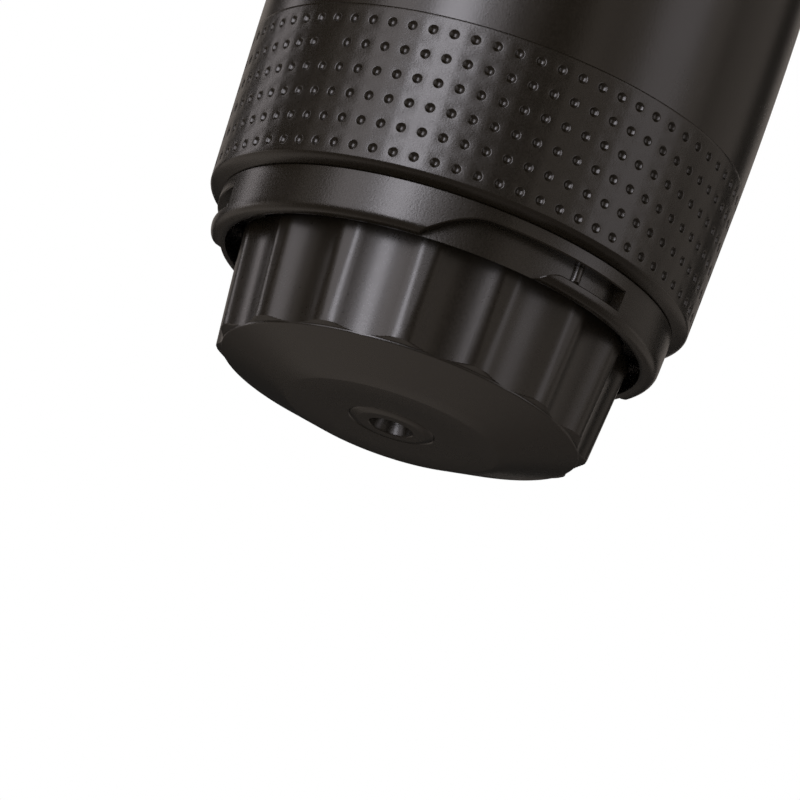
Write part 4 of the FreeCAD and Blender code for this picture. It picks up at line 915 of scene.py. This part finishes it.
def coil(radius, wire, low, high, pitch):
    """A compression spring round the upright axis with a closed turn at each end, as a tube of round wire."""
    active = (high - low - 3 * wire) / pitch
    count = round((active + 2) * STEPS_PER_TURN)
    turn = np.linspace(0, active + 2, count + 1)
    height = low + wire / 2 + wire * np.minimum(turn, 1) + pitch * np.clip(turn - 1, 0, active)
    height += wire * np.clip(turn - 1 - active, 0, 1)
    outward = np.stack([np.cos(tau * turn), np.sin(tau * turn), 0 * turn], -1)
    middle = outward * radius + np.stack([0 * turn, 0 * turn, height], -1)
    along = np.gradient(middle, axis=0)
    along /= np.linalg.norm(along, axis=1, keepdims=True)
    upward = np.cross(outward, along)
    upward *= np.sign(upward[:, 2:3])
    side = tau * np.arange(WIRE_SIDES)[None, :, None] / WIRE_SIDES
    points = middle[:, None] + wire / 2 * (np.cos(side) * outward[:, None] + np.sin(side) * upward[:, None])
    here = np.arange(count)[:, None] * WIRE_SIDES
    beside = np.arange(WIRE_SIDES)[None, :]
    after = (beside + 1) % WIRE_SIDES
    faces = np.stack([here + beside, here + after, here + WIRE_SIDES + after, here + WIRE_SIDES + beside], -1)
    first_end = list(range(WIRE_SIDES))
    last_end = list(range(count * WIRE_SIDES, (count + 1) * WIRE_SIDES))
    faces = faces.reshape(-1, 4).tolist() + [first_end, last_end]
    return solid("coil", (points.reshape(-1, 3) * MM).tolist(), faces)


LIGHT_WIRE = 0.35
VALVE_SPRING_LENGTH = 3.91
return_coil = on_pump_axis(coil(radius=6.5, wire=1.2, low=17.45, high=50.75, pitch=4.6))
return_spring = worked("return_spring_coil", return_coil, SPRING_STEEL, crease=60)
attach(return_spring, "maker")
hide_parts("return_spring")
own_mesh(return_spring)

for valve, low, joint in (("inlet", 68.55, "inlet_ball_drop"), ("delivery", 56.25, "delivery_ball_drop")):
    valve_coil = coil(radius=1.8, wire=LIGHT_WIRE, low=low, high=low + VALVE_SPRING_LENGTH, pitch=0.9)
    valve_coil.data.transform(Matrix.Translation((INTAKE_PLACE * MM, 0, 0)))
    valve_spring = worked(valve + "_spring_coil", valve_coil, SPRING_STEEL, crease=60)
    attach(valve_spring, "maker")
    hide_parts(valve + "_spring")
    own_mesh(valve_spring)

crema_coil = coil(radius=2.4, wire=LIGHT_WIRE, low=6.45, high=8.25, pitch=0.7)
crema_spring = worked("crema_spring_coil", crema_coil, SPRING_STEEL, crease=60)
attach(crema_spring, "outlet")
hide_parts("crema_spring")
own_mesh(crema_spring)


# ---------------- ring of screws
# The three screws that hold the collar up into the brew chamber: stainless pan heads with a cross slot.
# They are seen from below when the head is off.

SCREW_HEAD = 1.4
SCREW_HEAD_HEIGHT = 1.2
SCREW_SHANK = 1.0
SCREW_NECK = 1.05
SCREW_LENGTH = 7.0
SCREW_THREAD = 0.5
SCREW_SEAT = 21.2
SCREW_CIRCLE = 24.3
FIRST_SCREW = radians(30)
SLOT_ARM = SCREW_HEAD * 0.62
SLOT_HALF_WIDTH = SCREW_HEAD * 0.11
SLOT_DEPTH = SCREW_HEAD_HEIGHT * 0.45


def slot_blade(turn):
    """A flat bar through the screw's face, along one arm of its cross."""
    along = np.array((cos(turn), sin(turn))) * SLOT_ARM
    aside = np.array((-sin(turn), cos(turn))) * SLOT_HALF_WIDTH
    face = SCREW_SEAT - SCREW_HEAD_HEIGHT
    corners = [(*(end * along + side * aside) * MM, up * MM)
               for up in (face - 0.5, face + SLOT_DEPTH)
               for end, side in ((1, 1), (-1, 1), (-1, -1), (1, -1))]
    faces = [(3, 2, 1, 0), (4, 5, 6, 7), (0, 1, 5, 4), (1, 2, 6, 5), (2, 3, 7, 6), (3, 0, 4, 7)]
    return solid("blade", corners, faces)


screw_section = [(0.001, -SCREW_HEAD_HEIGHT)]
for share, down in ((0.55, 1), (0.8, 0.9), (0.95, 0.66), (1, 0.4), (1, 0)):
    screw_section.append((SCREW_HEAD * share, -SCREW_HEAD_HEIGHT * down))
screw_section += [(SCREW_NECK, 0), (SCREW_NECK, 0.1)]
for rise in np.arange(0.15, SCREW_LENGTH - 0.8, 0.15):
    crest = 1 - abs((rise / SCREW_THREAD) % 1 - 0.5) * 2
    screw_section.append((SCREW_SHANK * (0.88 + 0.12 * crest), rise))
screw_section += [(SCREW_SHANK * 0.8, SCREW_LENGTH - 0.7), (0.001, SCREW_LENGTH)]
screw = spun("screw", screw_section, 15)
screw.data.transform(Matrix.Translation((0, 0, SCREW_SEAT * MM)))
screw_mesh = carved(screw, [("DIFFERENCE", slot_blade(radians(turned))) for turned in (45, 135)])
screw_place = (SCREW_CIRCLE * cos(FIRST_SCREW) * MM, SCREW_CIRCLE * sin(FIRST_SCREW) * MM, 0)
screw_mesh.transform(Matrix.Translation(screw_place))
SCREW_STEEL = turned_steel("screw_steel", (0.42, 0.41, 0.40), 0.30)
collar_screws = ring_of("collar_screws_cross", bpy.data.objects.new("screw", screw_mesh), 3, SCREW_STEEL)
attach(collar_screws, "maker")
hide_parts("collar_screws")


# ---------------- what the casing hides
# The brewing parts, the pump and the valves: plastic frame and housings, stainless sheet, rods and wire, and
# silicone seals. Their shapes are the solids' own, and they only take their finishes here.

def rubber(name, colour):
    """Soft silicone, with a dusty bloom."""
    finish = Finish(name, colour)
    bloom = finish.noise(1.4, 4)
    finish.vary("Roughness", 0.55 + (bloom - 0.5) * 0.2)
    finish.raise_by(bloom, 0.004)
    return finish.material


FRAME_PLASTIC = moulded("frame_plastic", (0.055, 0.055, 0.057), 0.45, 0.5, 0.004)
PUMP_PLASTIC = moulded("pump_plastic", (0.32, 0.31, 0.29), 0.42, 0.5, 0.003)
VALVE_PLASTIC = moulded("valve_plastic", (0.06, 0.06, 0.062), 0.4, 0.4, 0.003)
STEEL = turned_steel("stainless_steel", (0.60, 0.59, 0.57), 0.28)
SEAL = rubber("seal_silicone", (0.20, 0.035, 0.02))
SOFT_SEAL = rubber("soft_seal_silicone", (0.42, 0.40, 0.37))
BASKET_STEEL = turned_steel("basket_steel", (0.62, 0.61, 0.59), 0.33)
SLOT_FINISH = dict(casing=CASING_PLASTIC, grip=GRIP_PLASTIC, head=HEAD_PLASTIC, frame=FRAME_PLASTIC,
                   pump=PUMP_PLASTIC, valve=VALVE_PLASTIC, steel=STEEL, seal=SEAL, soft_seal=SOFT_SEAL,
                   spring=SPRING_STEEL, basket=BASKET_STEEL, tank=BODY_PLASTIC, knob=CASING_PLASTIC,
                   accent=STEEL)
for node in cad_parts.values():
    slot = node.data.materials[0].name
    node.data.materials[0] = SLOT_FINISH[slot]
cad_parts["guide_sleeve"].data.materials[0] = HEAD_PLASTIC


# ---------------- light, floor and camera
# The maker hangs in the air between tall soft lamps, far above a pale floor. A camera with a long lens looks
# up at it from in front and below, rolled to one side.

LAMP_DISTANCE = 0.9
LAMP_TARGET = np.array((0, 0, 0.035))
VIOLET = (1.03, 1.0, 1.08)
WARM = (1.08, 1.0, 1.02)
AMBER = (1.14, 1.0, 0.90)


def strip(name, turned, width, radiance, tint=AMBER, lift=8, height=1.2):
    """A tall soft lamp that faces the maker, turned from the front to the right."""
    lamp = bpy.data.lights.new(name, "AREA")
    lamp.shape = "RECTANGLE"
    lamp.size = width
    lamp.size_y = height
    lamp.energy = radiance * pi * width * height
    lamp.color = tint
    holder = placed(name, lamp)
    side, up = radians(turned), radians(lift)
    toward = np.array((cos(up) * sin(side), -cos(up) * cos(side), sin(up)))
    holder.location = Vector(LAMP_TARGET + toward * LAMP_DISTANCE)
    holder.rotation_euler = Vector(toward).to_track_quat("Z", "Y").to_euler()
    holder.visible_camera = False


strip("front_lamp", -32, 0.30, 7.0, VIOLET)
strip("front_fill", -14, 0.09, 2.4, WARM)
strip("centre_fill", -1, 0.13, 0.28)
strip("left_fill", -57, 0.33, 2.0, WARM)
strip("left_dim", -79, 0.14, 0.4)
strip("left_lamp", -122, 0.19, 1.7, WARM, lift=14, height=1.1)
strip("left_rim", -160, 0.30, 0.32, lift=24, height=0.7)
strip("right_dim", 30, 0.20, 0.46)
strip("right_edge", 46, 0.22, 0.40)
strip("right_lamp", 66, 0.38, 1.2, WARM)
strip("right_wing", 86, 0.20, 0.5)
strip("right_back", 113, 0.50, 0.28, lift=14, height=1.1)
strip("right_rim", 164, 0.40, 0.25, lift=24, height=0.7)
strip("low_left", -128, 0.80, 0.27, lift=-24, height=0.5)
strip("low_right", 128, 0.80, 0.24, lift=-24, height=0.5)

ROOM_LEVEL = 0.55               # how bright the room is where it only lights, and where it is mirrored
MIRRORED_LEVEL = 0.02
world = bpy.data.worlds.new("studio")
world.use_nodes = True
bpy.context.scene.world = world
tree = world.node_tree
ray = tree.nodes.new("ShaderNodeLightPath").outputs
seen = node_in(tree, "ShaderNodeMath", {"operation": "ADD"},
               {0: ray["Is Camera Ray"], 1: ray["Is Transmission Ray"]})
room = node_in(tree, "ShaderNodeMath", {"operation": "MULTIPLY_ADD"},
               {0: ray["Is Glossy Ray"], 1: MIRRORED_LEVEL - ROOM_LEVEL, 2: ROOM_LEVEL})
level = node_in(tree, "ShaderNodeMath", {"operation": "ADD", "use_clamp": True}, {0: seen, 1: room})
background = tree.nodes["Background"]
background.inputs["Color"].default_value = (1, 1, 1, 1)
tree.links.new(level, background.inputs["Strength"])

FLOOR_HEIGHT = -1.1
FLOOR_HALF = 5
FLOOR_TONE = (0.85, 0.85, 0.85)
# Painted light: to glossy rays the floor's colour is a painted pool of light, warm and bright round one spot
# and darker outward, which the head's underside mirrors. To other rays the floor is an even pale tone.
PAINTED_POOL_MIDDLE = (-0.33, 1.03, FLOOR_HEIGHT)
PAINTED_POOL_NEAR = (0.60, 0.53, 0.47)  # what glossy faces mirror: a warm pool of light that darkens outward
PAINTED_POOL_FAR = (0.155, 0.132, 0.115)
corners = [(x * FLOOR_HALF, y * FLOOR_HALF, FLOOR_HEIGHT) for x, y in ((-1, -1), (1, -1), (1, 1), (-1, 1))]
floor = solid("floor", corners, [(0, 1, 2, 3)])
floor_finish = Finish("floor_paint", FLOOR_TONE, Roughness=0.9)
glossy_ray = floor_finish.add("ShaderNodeLightPath", output="Is Glossy Ray")
away = floor_finish.add("ShaderNodeVectorMath", {"operation": "DISTANCE"},
                        {0: floor_finish.place(), 1: PAINTED_POOL_MIDDLE}, "Value")
# The painted pool of light, which only glossy rays see.
painted_pool = floor_finish.blend(floor_finish.clear(away, 0.45, 1.06), PAINTED_POOL_NEAR, PAINTED_POOL_FAR)
floor_finish.vary("Base Color", floor_finish.blend(glossy_ray, FLOOR_TONE, painted_pool))
floor.data.materials.append(floor_finish.material)
bpy.context.scene.collection.objects.link(floor)

FOCAL_PIXELS = 9450.0
IMAGE_SIDE = 800
SENSOR = 36.0
LIFT = 0.2874957
ROLL = 0.3311768
SIDEWAYS = 6.211867
UPWARD = 17.991579
DISTANCE = 1126.821951
CENTRE_HEIGHT = 23.46
right, ahead = np.array((1.0, 0, 0)), np.array((0, cos(LIFT), sin(LIFT)))
upright = np.array((0, -sin(LIFT), cos(LIFT)))
image_right = cos(ROLL) * right + sin(ROLL) * upright
image_up = -sin(ROLL) * right + cos(ROLL) * upright
place = -SIDEWAYS * image_right - UPWARD * image_up - DISTANCE * ahead + (0, 0, CENTRE_HEIGHT)
camera = placed("camera", bpy.data.cameras.new("camera"))
camera.data.sensor_width = SENSOR
camera.data.lens = FOCAL_PIXELS * SENSOR / IMAGE_SIDE
camera.data.clip_start = 0.01
camera.matrix_world = Matrix([[*row, spot * MM] for row, spot in zip(
    np.stack([image_right, image_up, -ahead], 1).tolist(), place)] + [[0, 0, 0, 1]])
bpy.context.scene.camera = camera
bpy.context.scene.view_settings.view_transform = "Standard"
